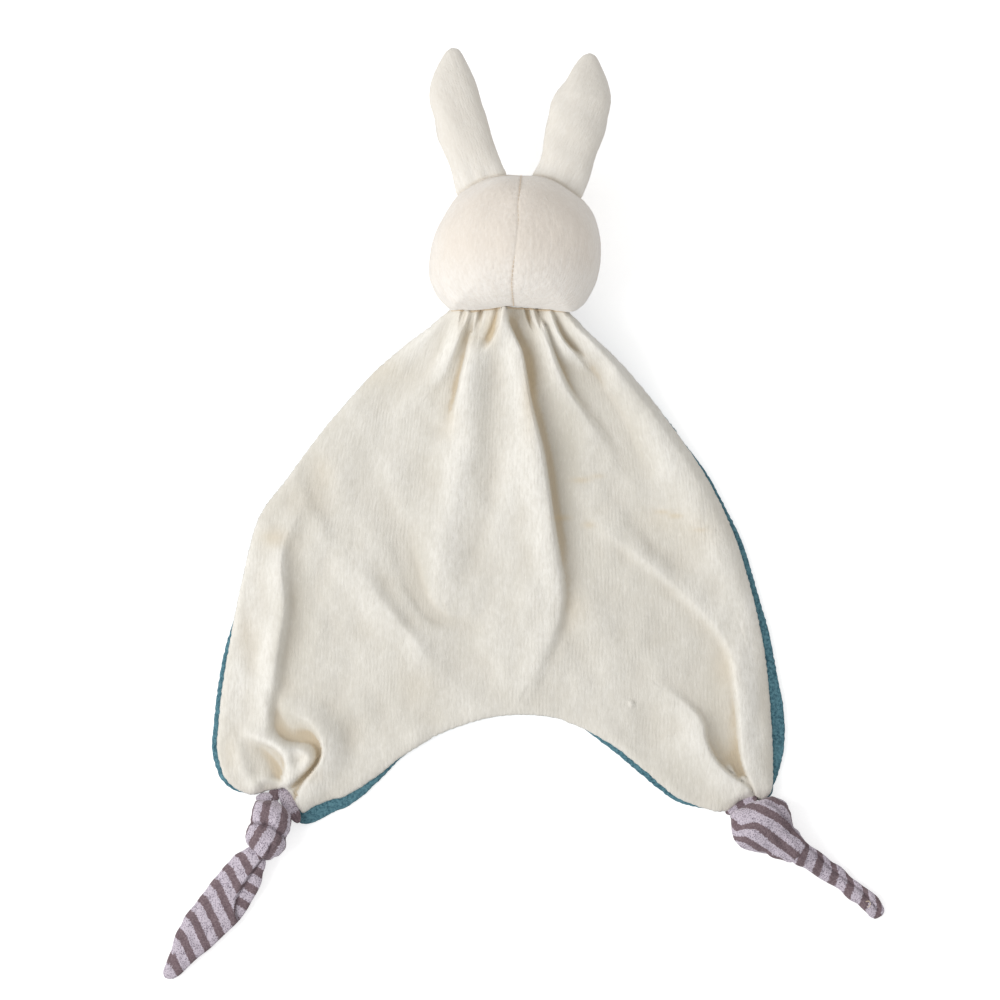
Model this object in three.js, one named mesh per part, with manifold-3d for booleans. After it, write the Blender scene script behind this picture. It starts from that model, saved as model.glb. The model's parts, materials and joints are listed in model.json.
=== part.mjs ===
// Rabbit comfort blanket: a stuffed rabbit head on a two-layer cloth with two knotted legs.
// It lies on its front, as it is put down: +X to its right seen from above, +Y from neck to
// ears, +Z up. Lengths are millimetres. Each seam that lets a part flop is a hinge, and there
// one piece ends in a round nose that sits in a groove or cup of the other.
import * as THREE from "three";
import { mergeVertices } from "three/addons/utils/BufferGeometryUtils.js";
import Module from "manifold-3d";

const wasm = await Module();
wasm.setup();

// Driving sizes
const clearance = 0.3;
const floorFlat = 0.5;
const overrun = 2;

const velourThickness = 2.2;
const jerseyThickness = 1.6;

const headWidth = 69;
const headHeight = 54.5;
const headDepth = 56;

const earLength = 54;
const earWidth = 22;
const earThickness = 15;
const earSeamThickness = 6;

const neckWidth = 46;
const neckThickness = 11;
const neckLength = 3.5;
const neckDrop = 9;
const threadThickness = 1.1;

const blanketWidth = 232;
const blanketLength = 201.5;
const foldHeight = 15;
const foldSag = 3.5;
const hemPeek = 5;

const legRootThickness = 10;
const cuffLength = 9;
const cuffFlare = 14;
const leftKnotLength = 20;
const rightKnotLength = 22;
const knotWidth = 17;
const knotThickness = 13.5;
const wrapThickness = 4.4;
const tailRootThickness = 7;
const tailThickness = 7;
const leftTailLength = 60;
const leftTailWidth = 17;
const rightTailLength = 40;
const rightTailWidth = 10.5;

// How far each hinge turns, in degrees; the lips beside each round nose are cut back to allow it
const headNod = 45;
const earFold = 45;
const legFold = 40;
const tailSwing = 35;
const swingMargin = 4;

// Numbers of facets
const headSides = 28;
const headRings = 8;
const earSides = 14;
const earRings = 9;
const earSwingRings = 2;
const clothColumns = 26;
const clothRows = 14;
const legSides = 12;
const wrapSteps = 20;
const neckSides = 36;
const cutSides = 12;
const noseSteps = 3;

// Shapes, as shares of the sizes above
const headLowerShare = 0.45;
const headUpperPower = 2.2;
const headLowerPower = 3.8;
const headBackSeamShares = { top: 0.03, bottom: -0.05 };
const earDroop = 9;
const ears = {
  left: {
    seamShares: [-0.68, -0.07],
    lean: 11.5,
    leftShares: [1.25, 1.38, 1.34, 1.08, 0.7],
    rightShares: [0.78, 0.73, 0.65, 0.5, 0.32],
  },
  right: {
    seamShares: [0.2, 0.79],
    lean: -13.5,
    leftShares: [0.95, 1.05, 0.93, 0.66, 0.42],
    rightShares: [1.05, 1.19, 1.16, 0.9, 0.54],
  },
};
const earStationShares = [0.23, 0.44, 0.63, 0.8, 0.92];
const earSwellShares = [0, 0.62, 0.94, 1, 0.94, 0.8, 0.55, 0.36];

// Cloth outline: x as a share of half the blanket's width, y as a share of its length below the neck
const leftEdgeShares = [
  [-0.27, 0], [-0.31, 0.015], [-0.405, 0.06], [-0.578, 0.152], [-0.735, 0.262], [-0.885, 0.395],
  [-0.953, 0.527], [-1, 0.65], [-1.03, 0.77], [-1.04, 0.87], [-1.015, 0.93], [-0.945, 0.96],
];
const rightEdgeShares = [
  [0.22, 0], [0.28, 0.03], [0.39, 0.09], [0.505, 0.173], [0.605, 0.253], [0.705, 0.35],
  [0.785, 0.453], [0.83, 0.54], [0.862, 0.62], [0.885, 0.71], [0.9, 0.8], [0.907, 0.88], [0.905, 0.95],
];
const hemShares = [
  [-0.945, 0.96], [-0.84, 0.972], [-0.73, 0.99], [-0.65, 0.985], [-0.56, 0.95], [-0.47, 0.915],
  [-0.385, 0.88], [-0.29, 0.845], [-0.19, 0.82], [-0.09, 0.805], [0.02, 0.8], [0.14, 0.805],
  [0.26, 0.835], [0.37, 0.875], [0.47, 0.92], [0.575, 0.972], [0.68, 0.993], [0.76, 0.985],
  [0.84, 0.97], [0.905, 0.95],
];
// How far the lower cloth shows past the upper one, along each edge, as shares of hemPeek
const leftPeekShares = [0.03, 0.03, 0.03, 0.03, 0.1, 0.35, 0.45, 0.3];
const rightPeekShares = [0.03, 0.03, 0.06, 0.2, 0.3, 0.45, 0.8, 1, 0.4];
const hemPeekShares = [0.2, 1.1, 0.7, 0.35, 0.15, 0.06, 0.06, 0.4, 0.4, 0.06, 0.1];

// Folds of the cloth: the crest's path in the outline's shares, its height along the path as
// shares of foldHeight, and how wide it is on its left and right going down, as shares of the width
const folds = [
  { // centre fold, steep on its right
    pathShares: [[-0.02, 0], [-0.01, 0.1], [0.02, 0.22], [0.06, 0.36], [0.08, 0.48], [0.06, 0.6], [0.02, 0.73]],
    heightShares: [0.5, 0.9, 1, 0.95, 0.75, 0.5, 0.3],
    widthShares: [0.086, 0.04],
  },
  { // fold left of the centre, which ends in a bulge
    pathShares: [[-0.12, 0], [-0.16, 0.12], [-0.19, 0.24], [-0.23, 0.36], [-0.28, 0.48], [-0.31, 0.56]],
    heightShares: [0.45, 0.7, 0.65, 0.5, 0.55, 0.5],
    widthShares: [0.05, 0.072],
  },
  { // left shoulder, down to the left knot
    pathShares: [[-0.22, 0], [-0.33, 0.07], [-0.5, 0.17], [-0.65, 0.28], [-0.77, 0.41], [-0.84, 0.52], [-0.87, 0.65], [-0.89, 0.77], [-0.9, 0.86]],
    heightShares: [0.4, 0.7, 0.7, 0.6, 0.55, 0.6, 0.65, 0.6, 0.5],
    widthShares: [0.072, 0.058],
  },
  { // shallow fold across the left half
    pathShares: [[-0.61, 0.43], [-0.42, 0.6], [-0.34, 0.69], [-0.26, 0.79]],
    heightShares: [0.15, 0.35, 0.35, 0.2],
    widthShares: [0.072, 0.094],
  },
  { // curled fold over the left knot
    pathShares: [[-0.82, 0.79], [-0.71, 0.8], [-0.66, 0.85], [-0.69, 0.89], [-0.77, 0.93]],
    heightShares: [0.3, 0.6, 0.6, 0.5, 0.3],
    widthShares: [0.032, 0.043],
  },
  { // lobe of the hem beside the left knot
    pathShares: [[-0.73, 0.97], [-0.69, 0.93], [-0.61, 0.85], [-0.53, 0.76]],
    heightShares: [0.3, 0.45, 0.4, 0.15],
    widthShares: [0.036, 0.058],
  },
  { // fold from the centre to the right edge
    pathShares: [[0.24, 0.35], [0.42, 0.46], [0.6, 0.55], [0.74, 0.65], [0.81, 0.73]],
    heightShares: [0.15, 0.4, 0.45, 0.4, 0.3],
    widthShares: [0.072, 0.036],
  },
  { // right shoulder, down to the right knot
    pathShares: [[0.22, 0], [0.37, 0.09], [0.51, 0.21], [0.65, 0.37], [0.75, 0.51], [0.82, 0.65], [0.86, 0.77], [0.87, 0.88]],
    heightShares: [0.4, 0.7, 0.7, 0.65, 0.65, 0.7, 0.75, 0.5],
    widthShares: [0.072, 0.065],
  },
  { // fold between the centre and the right shoulder
    pathShares: [[0.1, 0], [0.13, 0.11], [0.19, 0.2], [0.28, 0.29], [0.37, 0.36]],
    heightShares: [0.4, 0.6, 0.5, 0.35, 0.2],
    widthShares: [0.036, 0.043],
  },
  { // lobe of the hem beside the right knot
    pathShares: [[0.52, 0.76], [0.61, 0.83], [0.68, 0.9], [0.77, 0.95]],
    heightShares: [0.2, 0.5, 0.6, 0.3],
    widthShares: [0.058, 0.036],
  },
];
const pleatCount = 7;
const pleatShare = 0.1;

// Legs: where each hangs from the hem, the way it points (degrees from -Y towards +X), its knot and tail
const legs = {
  left: {
    rootShares: [-0.831, 0.974],
    heading: -20,
    knotLength: leftKnotLength,
    knotShares: [0.7, 0.85, 0.86, 0.8, 0.86, 0.76, 0.5],
    wraps: [
      { atShare: 0.34, tilt: 20, widthShare: 0.42 },
      { atShare: 0.66, tilt: -18, widthShare: 0.36 },
    ],
    tailLength: leftTailLength,
    tailWidth: leftTailWidth,
    tailHeading: -37,
    tailShares: [0.5, 0.9, 1.05, 1.04, 0.94, 0.72, 0.3],
  },
  right: {
    rootShares: [0.819, 0.9965],
    heading: 52,
    knotLength: rightKnotLength,
    knotShares: [0.85, 1.15, 1.35, 1.4, 1.28, 1, 0.75, 0.5],
    wraps: [{ atShare: 0.28, tilt: -24, widthShare: 0.34 }],
    tailLength: rightTailLength,
    tailWidth: rightTailWidth,
    tailHeading: 54.5,
    tailShares: [0.7, 1, 1, 0.94, 0.86, 0.78, 0.6],
  },
};

const materials = {
  velour: new THREE.MeshStandardMaterial({ color: 0xe6e0d4, roughness: 0.95, metalness: 0 }),
  headVelour: new THREE.MeshStandardMaterial({ color: 0xeadccb, roughness: 0.95, metalness: 0 }),
  teal: new THREE.MeshStandardMaterial({ color: 0x40707d, roughness: 0.95, metalness: 0 }),
  stripes: new THREE.MeshStandardMaterial({ color: 0x9b8a91, roughness: 0.95, metalness: 0 }),
  stuffing: new THREE.MeshStandardMaterial({ color: 0xf4f3ef, roughness: 1, metalness: 0 }),
  thread: new THREE.MeshStandardMaterial({ color: 0xd9cdb8, roughness: 0.8, metalness: 0 }),
};

// Curves through shares
const radians = THREE.MathUtils.degToRad;
const mix = THREE.MathUtils.lerp;
const bell = (distance, width) => Math.exp(-((distance / width) ** 2));

// Value at t (0 to 1) of a smooth curve through evenly spaced values.
function along(values, t) {
  const last = values.length - 1;
  const place = THREE.MathUtils.clamp(t, 0, 1) * last;
  const i = Math.min(Math.floor(place), last - 1);
  const f = place - i;
  const [a, b, c, d] = [values[Math.max(i - 1, 0)], values[i], values[i + 1], values[Math.min(i + 2, last)]];
  const cubic = ((-a + 3 * b - 3 * c + d) * f + (2 * a - 5 * b + 4 * c - d)) * f;
  return b + ((cubic + (c - a)) * f) / 2;
}

function curveThrough(points) {
  return new THREE.CatmullRomCurve3(points, false, "centripetal");
}

// Solids from rings and grids
function geometryOf(points, triangles) {
  const geometry = new THREE.BufferGeometry();
  geometry.setAttribute("position", new THREE.Float32BufferAttribute(points.flatMap((p) => p.toArray()), 3));
  geometry.setIndex(triangles);
  return geometry;
}

// A closed mesh as a manifold-3d solid, turned right side out.
function solidOf(points, triangles) {
  const merged = mergeVertices(geometryOf(points, triangles), 1e-4);
  const mesh = (order) => new wasm.Mesh({
    numProp: 3,
    vertProperties: merged.attributes.position.array,
    triVerts: new Uint32Array(order),
  });
  const order = Array.from(merged.index.array);
  const made = new wasm.Manifold(mesh(order));
  return made.volume() > 0 ? made : new wasm.Manifold(mesh(order.reverse()));
}

function bandOf(first, second, sides) {
  const triangles = [];
  for (let i = 0; i < sides; i++) {
    const j = (i + 1) % sides;
    triangles.push(first + i, second + i, first + j, first + j, second + i, second + j);
  }
  return triangles;
}

// A loft through rings of points, closed by a fan at each end.
function loft(rings) {
  const sides = rings[0].length;
  const points = rings.flat();
  const triangles = [];
  for (let r = 0; r + 1 < rings.length; r++)
    triangles.push(...bandOf(r * sides, (r + 1) * sides, sides));
  const capOf = (ring, start, turned) => {
    const centre = points.push(ring.reduce((sum, p) => sum.add(p), new THREE.Vector3()).divideScalar(sides)) - 1;
    for (let i = 0; i < sides; i++) {
      const j = (i + 1) % sides;
      triangles.push(centre, start + (turned ? j : i), start + (turned ? i : j));
    }
  };
  capOf(rings[0], 0, false);
  capOf(rings[rings.length - 1], (rings.length - 1) * sides, true);
  return solidOf(points, triangles);
}

// A loft through rings that closes on itself, such as a band round a knot.
function loopLoft(rings) {
  const sides = rings[0].length;
  const triangles = rings.flatMap((_, r) => bandOf(r * sides, ((r + 1) % rings.length) * sides, sides));
  return solidOf(rings.flat(), triangles);
}

// A ring of points: an ellipse about a centre, with half axes given as vectors.
function ellipse(centre, across, up, sides, turn = 0) {
  return Array.from({ length: sides }, (_, i) => {
    const angle = ((i + turn) / sides) * Math.PI * 2;
    return centre.clone().addScaledVector(across, Math.cos(angle)).addScaledVector(up, Math.sin(angle));
  });
}

function meshOf(name, solid, material) {
  const cut = solid.getMesh();
  const geometry = new THREE.BufferGeometry();
  geometry.setAttribute("position", new THREE.BufferAttribute(Float32Array.from(cut.vertProperties), 3));
  geometry.setIndex(new THREE.BufferAttribute(Uint32Array.from(cut.triVerts), 1));
  geometry.computeVertexNormals();
  const mesh = new THREE.Mesh(geometry, material);
  mesh.name = name;
  return mesh;
}

const aboveFloor = (solid) => solid.trimByPlane([0, 0, 1], 0);

// A round rod between two points, for grooves.
function rod(from, to, radius) {
  const axis = to.clone().sub(from).normalize();
  const across = new THREE.Vector3(0, 0, 1);
  const up = new THREE.Vector3().crossVectors(axis, across).multiplyScalar(radius);
  across.multiplyScalar(radius);
  return loft([ellipse(from, across, up, cutSides), ellipse(to, across, up, cutSides)]);
}

function ball(centre, radius) {
  const geometry = new THREE.SphereGeometry(radius, cutSides, cutSides / 2);
  geometry.translate(centre.x, centre.y, centre.z);
  const position = geometry.attributes.position;
  const points = Array.from({ length: position.count }, (_, i) => new THREE.Vector3().fromBufferAttribute(position, i));
  return solidOf(points, Array.from(geometry.index.array));
}

// A solid turned by an angle about a line through a point.
function turned(solid, point, line, angle) {
  const matrix = new THREE.Matrix4().makeTranslation(point)
    .multiply(new THREE.Matrix4().makeRotationAxis(line, angle))
    .multiply(new THREE.Matrix4().makeTranslation(point.clone().negate()));
  return solid.transform(matrix.elements);
}

// Head: a round ball with a flatter chin, wider than high, in three velour panels over its stuffing
const headCentreHeight = headDepth / 2 - floorFlat;
const headWidestY = headHeight * headLowerShare;

// Half width of the head at a height y above the neck, as a share of its half width.
function headShare(y, inset) {
  const upper = y > headWidestY;
  const reach = upper ? headHeight - headWidestY - inset : headWidestY - inset;
  const power = upper ? headUpperPower : headLowerPower;
  const part = Math.min(Math.abs(y - headWidestY) / reach, 1);
  return (1 - part ** power) ** (1 / power);
}

function headSolid(inset, sides, rings) {
  const made = [];
  for (let r = -rings; r <= rings; r++) {
    // Steps follow the angle round the profile, so that they lie closer near the poles.
    const angle = (r / (rings + 0.35)) * (Math.PI / 2);
    const reach = r < 0 ? headWidestY - inset : headHeight - headWidestY - inset;
    const y = headWidestY + Math.sin(angle) * reach;
    const share = headShare(y, inset);
    made.push(ellipse(
      new THREE.Vector3(0, y, headCentreHeight),
      new THREE.Vector3((headWidth / 2 - inset) * share, 0, 0),
      new THREE.Vector3(0, 0, (headDepth / 2 - inset) * share),
      sides,
    ));
  }
  return loft(made);
}

// The point on the head's outline, seen from above, at a share of its half width.
function headOutline(share) {
  const rise = (1 - Math.abs(share) ** headUpperPower) ** (1 / headUpperPower);
  const x = (headWidth / 2) * share;
  return new THREE.Vector3(x, mix(headWidestY, headHeight, rise), headCentreHeight);
}

// An ear's frame: the hinge line along its seam, the way it points and the turn that lets it droop.
function earFrame(ear) {
  const [first, second] = ear.seamShares.map(headOutline);
  const line = second.clone().sub(first).normalize();
  const outward = new THREE.Vector3(-line.y, line.x, 0);
  const seat = earSeamThickness / 2 + clearance;
  const from = first.addScaledVector(outward, seat);
  const to = second.addScaledVector(outward, seat);
  const centre = from.clone().add(to).divideScalar(2);
  const lean = radians(ear.lean);
  const spine = new THREE.Vector3(-Math.sin(lean), Math.cos(lean), 0);
  const droop = new THREE.Quaternion().setFromAxisAngle(line, -radians(earDroop));
  return { from, to, line, outward, centre, spine, side: new THREE.Vector3(spine.y, -spine.x, 0), droop };
}

function earSolid(ear, inset, firstRing, lastRing) {
  const frame = earFrame(ear);
  const edge = (end, shares, sign) => curveThrough([
    end,
    ...earStationShares.map((share, i) => frame.centre.clone()
      .addScaledVector(frame.spine, share * earLength)
      .addScaledVector(frame.side, (sign * shares[i] * earWidth) / 2)),
  ]);
  const left = edge(frame.from, ear.leftShares, -1);
  const right = edge(frame.to, ear.rightShares, 1);
  const ringAt = (t, back, thickness) => {
    const [a, b] = [left.getPoint(t), right.getPoint(t)];
    const half = b.clone().sub(a).divideScalar(2);
    half.setLength(half.length() - inset);
    const middle = a.add(b).divideScalar(2).addScaledVector(frame.outward, -back);
    return ellipse(middle, half, new THREE.Vector3(0, 0, thickness - inset), earSides);
  };
  const rings = [];
  const nose = earSeamThickness / 2;
  for (let step = noseSteps; step > 0 && firstRing === 0; step--) {
    const angle = (step / (noseSteps + 0.5)) * (Math.PI / 2);
    rings.push(ringAt(0, nose * Math.sin(angle), nose * Math.cos(angle)));
  }
  for (let r = firstRing; r <= lastRing; r++) {
    const t = r / earRings;
    rings.push(ringAt(t, 0, mix(nose, earThickness / 2, along(earSwellShares, t))));
  }
  if (lastRing === earRings) {
    const tip = rings[rings.length - 1];
    const middle = tip.reduce((sum, p) => sum.add(p), new THREE.Vector3()).divideScalar(tip.length);
    const reach = (1 - earStationShares[earStationShares.length - 1]) * earLength;
    rings.push(tip.map((p) => p.clone().lerp(middle, 0.45).addScaledVector(frame.spine, reach)));
  }
  const drooped = rings.map((ring) => ring.map((p) => p.sub(frame.centre).applyQuaternion(frame.droop).add(frame.centre)));
  return loft(drooped);
}

function addHead(group) {
  const grooves = Object.values(ears).map((ear) => {
    const { from, to, line } = earFrame(ear);
    return rod(
      from.clone().addScaledVector(line, -overrun),
      to.clone().addScaledVector(line, overrun),
      earSeamThickness / 2 + clearance,
    );
  });
  const skin = aboveFloor(
    headSolid(0, headSides, headRings).subtract(headSolid(velourThickness, headSides, headRings)),
  );
  const swings = Object.values(ears).flatMap((ear) => {
    const { centre, line } = earFrame(ear);
    const room = earSolid(ear, -clearance, 0, earSwingRings);
    return [-1, 1].map((sign) => turned(room, centre, line, sign * radians(earFold)));
  });
  const grooved = [...grooves, ...swings].reduce((solid, groove) => solid.subtract(groove), skin);
  const seamHeight = headCentreHeight;
  const face = grooved.trimByPlane([0, 0, -1], -(seamHeight - clearance / 2));
  const back = grooved.trimByPlane([0, 0, 1], seamHeight + clearance / 2);
  const { top, bottom } = headBackSeamShares;
  const slope = ((top - bottom) * (headWidth / 2)) / headHeight;
  const seamX = bottom * (headWidth / 2);
  const across = new THREE.Vector3(1, -slope, 0).normalize();
  const offset = seamX * across.x;
  const right = back.trimByPlane(across.toArray(), offset + clearance / 2);
  const left = back.trimByPlane(across.clone().negate().toArray(), -offset + clearance / 2);
  const stuffing = headSolid(velourThickness + clearance, headSides, headRings);
  group.add(
    meshOf("head_face", face, materials.headVelour),
    meshOf("head_back_left", left, materials.headVelour),
    meshOf("head_back_right", right, materials.headVelour),
    meshOf("head_stuffing", stuffing, materials.stuffing),
  );
}

function addEar(group, side) {
  const ear = ears[side];
  const frame = earFrame(ear);
  const skin = earSolid(ear, 0, 0, earRings).subtract(earSolid(ear, velourThickness, 2, earRings - 2));
  const normal = new THREE.Vector3(0, 0, 1).applyQuaternion(frame.droop);
  const level = normal.dot(frame.centre);
  group.add(
    meshOf(`ear_${side}_back`, skin.trimByPlane(normal.toArray(), level + clearance / 2), materials.velour),
    meshOf(`ear_${side}_front`, skin.trimByPlane(normal.clone().negate().toArray(), -level + clearance / 2), materials.velour),
    meshOf(`ear_${side}_stuffing`, earSolid(ear, velourThickness + clearance, 3, earRings - 3), materials.stuffing),
  );
}

// Neck: the cloth bunched into pleats under the head, with the thread that gathers it
const neckHeight = headCentreHeight - neckDrop;
const neckRadius = neckThickness / 2;

// Half thickness of the flat oval neck, as a share, at an angle round its outline.
const neckShare = (angle) => Math.abs(Math.sin(angle)) ** 0.7;

// Half thickness of the cloth's lips beside the neck's round edge, at a distance x from its middle.
function neckLip(x) {
  const side = THREE.MathUtils.clamp((2 * x) / neckWidth, -1, 1);
  const reach = neckRadius * neckShare(Math.acos(side)) + clearance;
  return Math.max(reach * Math.cos(radians(headNod)) - clearance, jerseyThickness);
}

// A ring of the gathered neck, with pleats on its top and bottom, turned down by an angle about
// the hinge line. Each of its points stays as far from that line as it was.
function neckRing(y, turn, growth) {
  return Array.from({ length: neckSides }, (_, i) => {
    const angle = ((i + 0.5) / neckSides) * Math.PI * 2;
    const pleat = 1 - (pleatShare * (1 + Math.cos(Math.cos(angle) * pleatCount * Math.PI))) / 2;
    const reach = neckRadius * neckShare(angle) * pleat + growth;
    const up = Math.sign(Math.sin(angle)) * Math.cos(turn);
    return new THREE.Vector3(
      Math.cos(angle) * (neckWidth / 2 + growth),
      y - reach * Math.sin(turn),
      neckHeight + reach * up,
    );
  });
}

function addNeck(group) {
  const rings = [neckRing(-clearance, 0, 0)];
  for (let step = 0; step <= noseSteps; step++)
    rings.push(neckRing(-neckLength, (step / (noseSteps + 0.5)) * (Math.PI / 2), 0));
  const threadRadius = threadThickness / 2;
  const loop = neckRing(-clearance - threadRadius, 0, threadRadius + clearance);
  const thread = loopLoft(loop.map((point) => {
    const outward = new THREE.Vector3(point.x / neckWidth ** 2, 0, (point.z - neckHeight) / neckThickness ** 2);
    outward.setLength(threadRadius);
    return ellipse(point, outward, new THREE.Vector3(0, threadRadius, 0), 6);
  }));
  group.add(
    meshOf("neck_gathers", loft(rings), materials.velour),
    meshOf("neck_thread", thread, materials.thread),
  );
}

// The groove that the neck's round edge turns in: its own outline turned about the hinge line.
function neckGroove() {
  return loft(Array.from({ length: neckSides / 2 }, (_, i) => {
    const angle = ((i + 0.5) / neckSides) * Math.PI * 2;
    const reach = neckRadius * neckShare(angle) + clearance;
    return ellipse(
      new THREE.Vector3(-Math.cos(angle) * (neckWidth / 2 + clearance), -neckLength, neckHeight),
      new THREE.Vector3(0, reach, 0),
      new THREE.Vector3(0, 0, reach),
      cutSides,
    );
  }));
}

// The room that the neck and its thread take up at the end of a nod.
function neckSwing(angle) {
  const room = loft([-neckLength, 0].map((y) => neckRing(y, 0, threadThickness + 2 * clearance)));
  return turned(room, new THREE.Vector3(0, -neckLength, neckHeight), new THREE.Vector3(1, 0, 0), angle);
}

// Legs: a cuff sewn to the cloth, a knot that hangs in it, and the striped tail below the knot
const legHeight = knotThickness / 2 + wrapThickness / 2 - floorFlat;
const legRadius = legRootThickness / 2;
const cuffLip = (legRadius + clearance) * Math.cos(radians(legFold)) - clearance;

function sharePoint([x, y], height = 0) {
  return new THREE.Vector3((x * blanketWidth) / 2, -neckLength - y * blanketLength, height);
}

function headingVector(degrees) {
  return new THREE.Vector3(Math.sin(radians(degrees)), -Math.cos(radians(degrees)), 0);
}

function legFrame(leg) {
  const root = sharePoint(leg.rootShares, legHeight);
  const forward = headingVector(leg.heading);
  const exit = root.clone().addScaledVector(forward, legRadius / 2 + leg.knotLength + tailRootThickness / 4);
  return { root, forward, side: new THREE.Vector3(-forward.y, forward.x, 0), exit };
}

function cuffSolid(leg, growth) {
  const { root, forward, side } = legFrame(leg);
  const stations = [
    { at: -cuffLength, width: cuffFlare / 2, thickness: cuffLip * 0.7 },
    { at: -cuffLength * 0.7, width: cuffFlare / 2, thickness: cuffLip },
    { at: -cuffLength * 0.45, width: mix(cuffFlare / 2, legRadius, 0.6), thickness: cuffLip },
    { at: -legRadius / 2, width: legRadius, thickness: cuffLip },
  ];
  return loft(stations.map(({ at, width, thickness }, i) => {
    const end = i === 0 ? -growth : i === stations.length - 1 ? growth : 0;
    return ellipse(
      root.clone().addScaledVector(forward, at + end),
      side.clone().multiplyScalar(width + growth),
      new THREE.Vector3(0, 0, thickness + growth),
      legSides,
    );
  }));
}

// A band wrapped round the knot, as a closed loop of flat oval sections.
function wrapSolid(leg, wrap) {
  const { root, forward, side } = legFrame(leg);
  const centre = root.clone().addScaledVector(forward, legRadius / 2 + wrap.atShare * leg.knotLength);
  const [width, thickness] = knotSize(leg, wrap.atShare);
  const tilt = radians(wrap.tilt);
  const axis = forward.clone().multiplyScalar(Math.cos(tilt)).addScaledVector(side, Math.sin(tilt));
  const across = side.clone().multiplyScalar(Math.cos(tilt)).addScaledVector(forward, -Math.sin(tilt));
  const up = new THREE.Vector3(0, 0, 1);
  const rings = ellipse(new THREE.Vector3(), new THREE.Vector3(1, 0, 0), new THREE.Vector3(0, 1, 0), wrapSteps)
    .map(({ x, y }) => {
      const outward = across.clone().multiplyScalar(x).addScaledVector(up, y);
      const point = centre.clone().addScaledVector(across, x * width).addScaledVector(up, y * thickness);
      return ellipse(
        point,
        axis.clone().multiplyScalar((wrap.widthShare * leg.knotLength) / 2),
        outward.multiplyScalar(wrapThickness / 2),
        8,
      );
    });
  return loopLoft(rings);
}

// Half width and half thickness of a knot at a share of its length. It keeps its full thickness
// wherever it is nearly as wide as it gets, once it has grown out of the round root.
const knotFullShare = 0.8;
const knotGrownShare = 0.3;

function knotSize(leg, t) {
  const grown = along(leg.knotShares, t);
  const full = Math.min(grown / (knotFullShare * Math.max(...leg.knotShares)), 1);
  const blend = THREE.MathUtils.smoothstep(t, 0, knotGrownShare);
  return [
    mix(legRadius, (knotWidth / 2) * grown, blend),
    mix(legRadius, (knotThickness / 2) * full, blend),
  ];
}

// The notch that the hem leaves round a knot, open above and below so that the knot can swing.
function knotNotch(leg) {
  const { root, forward, side } = legFrame(leg);
  return loft([0, knotGrownShare, 0.5, 1].map((t) => ellipse(
    root.clone().addScaledVector(forward, t * leg.knotLength),
    side.clone().multiplyScalar(knotSize(leg, Math.max(t, knotGrownShare))[0] + wrapThickness / 2 + clearance),
    new THREE.Vector3(0, 0, knotWidth * 2),
    cutSides,
  )));
}

// The room that the first half of a knot takes up at the end of its fold.
function knotSwing(leg, angle) {
  const { root, forward, side } = legFrame(leg);
  const room = loft([0, knotGrownShare / 2, knotGrownShare, 0.5].map((t) => {
    const [width, thickness] = knotSize(leg, t);
    return ellipse(
      root.clone().addScaledVector(forward, t * (legRadius / 2 + leg.knotLength)),
      side.clone().multiplyScalar(width + clearance),
      new THREE.Vector3(0, 0, thickness + clearance),
      legSides,
    );
  }));
  return turned(room, root, side, angle);
}

function knotSolid(leg) {
  const { root, forward, side, exit } = legFrame(leg);
  const rings = [];
  for (let step = noseSteps + 1; step > 0; step--) {
    const angle = (step / (noseSteps + 1.5)) * (Math.PI / 2);
    const radius = legRadius * Math.cos(angle);
    rings.push(ellipse(
      root.clone().addScaledVector(forward, -legRadius * Math.sin(angle)),
      side.clone().multiplyScalar(radius),
      new THREE.Vector3(0, 0, radius),
      legSides,
    ));
  }
  const steps = 10;
  for (let i = 0; i <= steps; i++) {
    const t = i / steps;
    const [width, thickness] = knotSize(leg, t);
    rings.push(ellipse(
      root.clone().addScaledVector(forward, t * (legRadius / 2 + leg.knotLength)),
      side.clone().multiplyScalar(width),
      new THREE.Vector3(0, 0, thickness),
      legSides,
    ));
  }
  const wrapped = leg.wraps.reduce((solid, wrap) => solid.add(wrapSolid(leg, wrap)), loft(rings));
  const cup = ball(exit, tailRootThickness / 2 + clearance);
  const swings = [-1, 1].map((sign) => {
    return turned(tailSolid(leg), exit, new THREE.Vector3(0, 0, 1), sign * radians(tailSwing + swingMargin));
  });
  return aboveFloor([cup, ...swings].reduce((solid, room) => solid.subtract(room), wrapped));
}

const tailGrownShare = 0.22;

function tailSolid(leg) {
  const { exit } = legFrame(leg);
  const forward = headingVector(leg.tailHeading);
  const side = new THREE.Vector3(-forward.y, forward.x, 0);
  const radius = tailRootThickness / 2;
  const rings = [];
  for (let step = noseSteps + 1; step > 0; step--) {
    const angle = (step / (noseSteps + 1.5)) * (Math.PI / 2);
    rings.push(ellipse(
      exit.clone().addScaledVector(forward, -radius * Math.sin(angle)),
      side.clone().multiplyScalar(radius * Math.cos(angle)),
      new THREE.Vector3(0, 0, radius * Math.cos(angle)),
      legSides,
    ));
  }
  const steps = 12;
  for (let i = 0; i <= steps; i++) {
    const t = i / steps;
    const near = THREE.MathUtils.smoothstep(t, 0, tailGrownShare);
    const width = mix(radius, (leg.tailWidth / 2) * along(leg.tailShares, t), near);
    const thickness = mix(radius, (tailThickness / 2) * mix(1, 0.6, t), near);
    const lie = THREE.MathUtils.smoothstep(t, 0, 0.45);
    const centre = exit.clone().addScaledVector(forward, t * leg.tailLength);
    centre.z = mix(legHeight, thickness - floorFlat / 2, lie);
    rings.push(ellipse(
      centre,
      side.clone().multiplyScalar(width),
      new THREE.Vector3(0, 0, thickness),
      legSides,
    ));
  }
  return aboveFloor(loft(rings));
}

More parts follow.
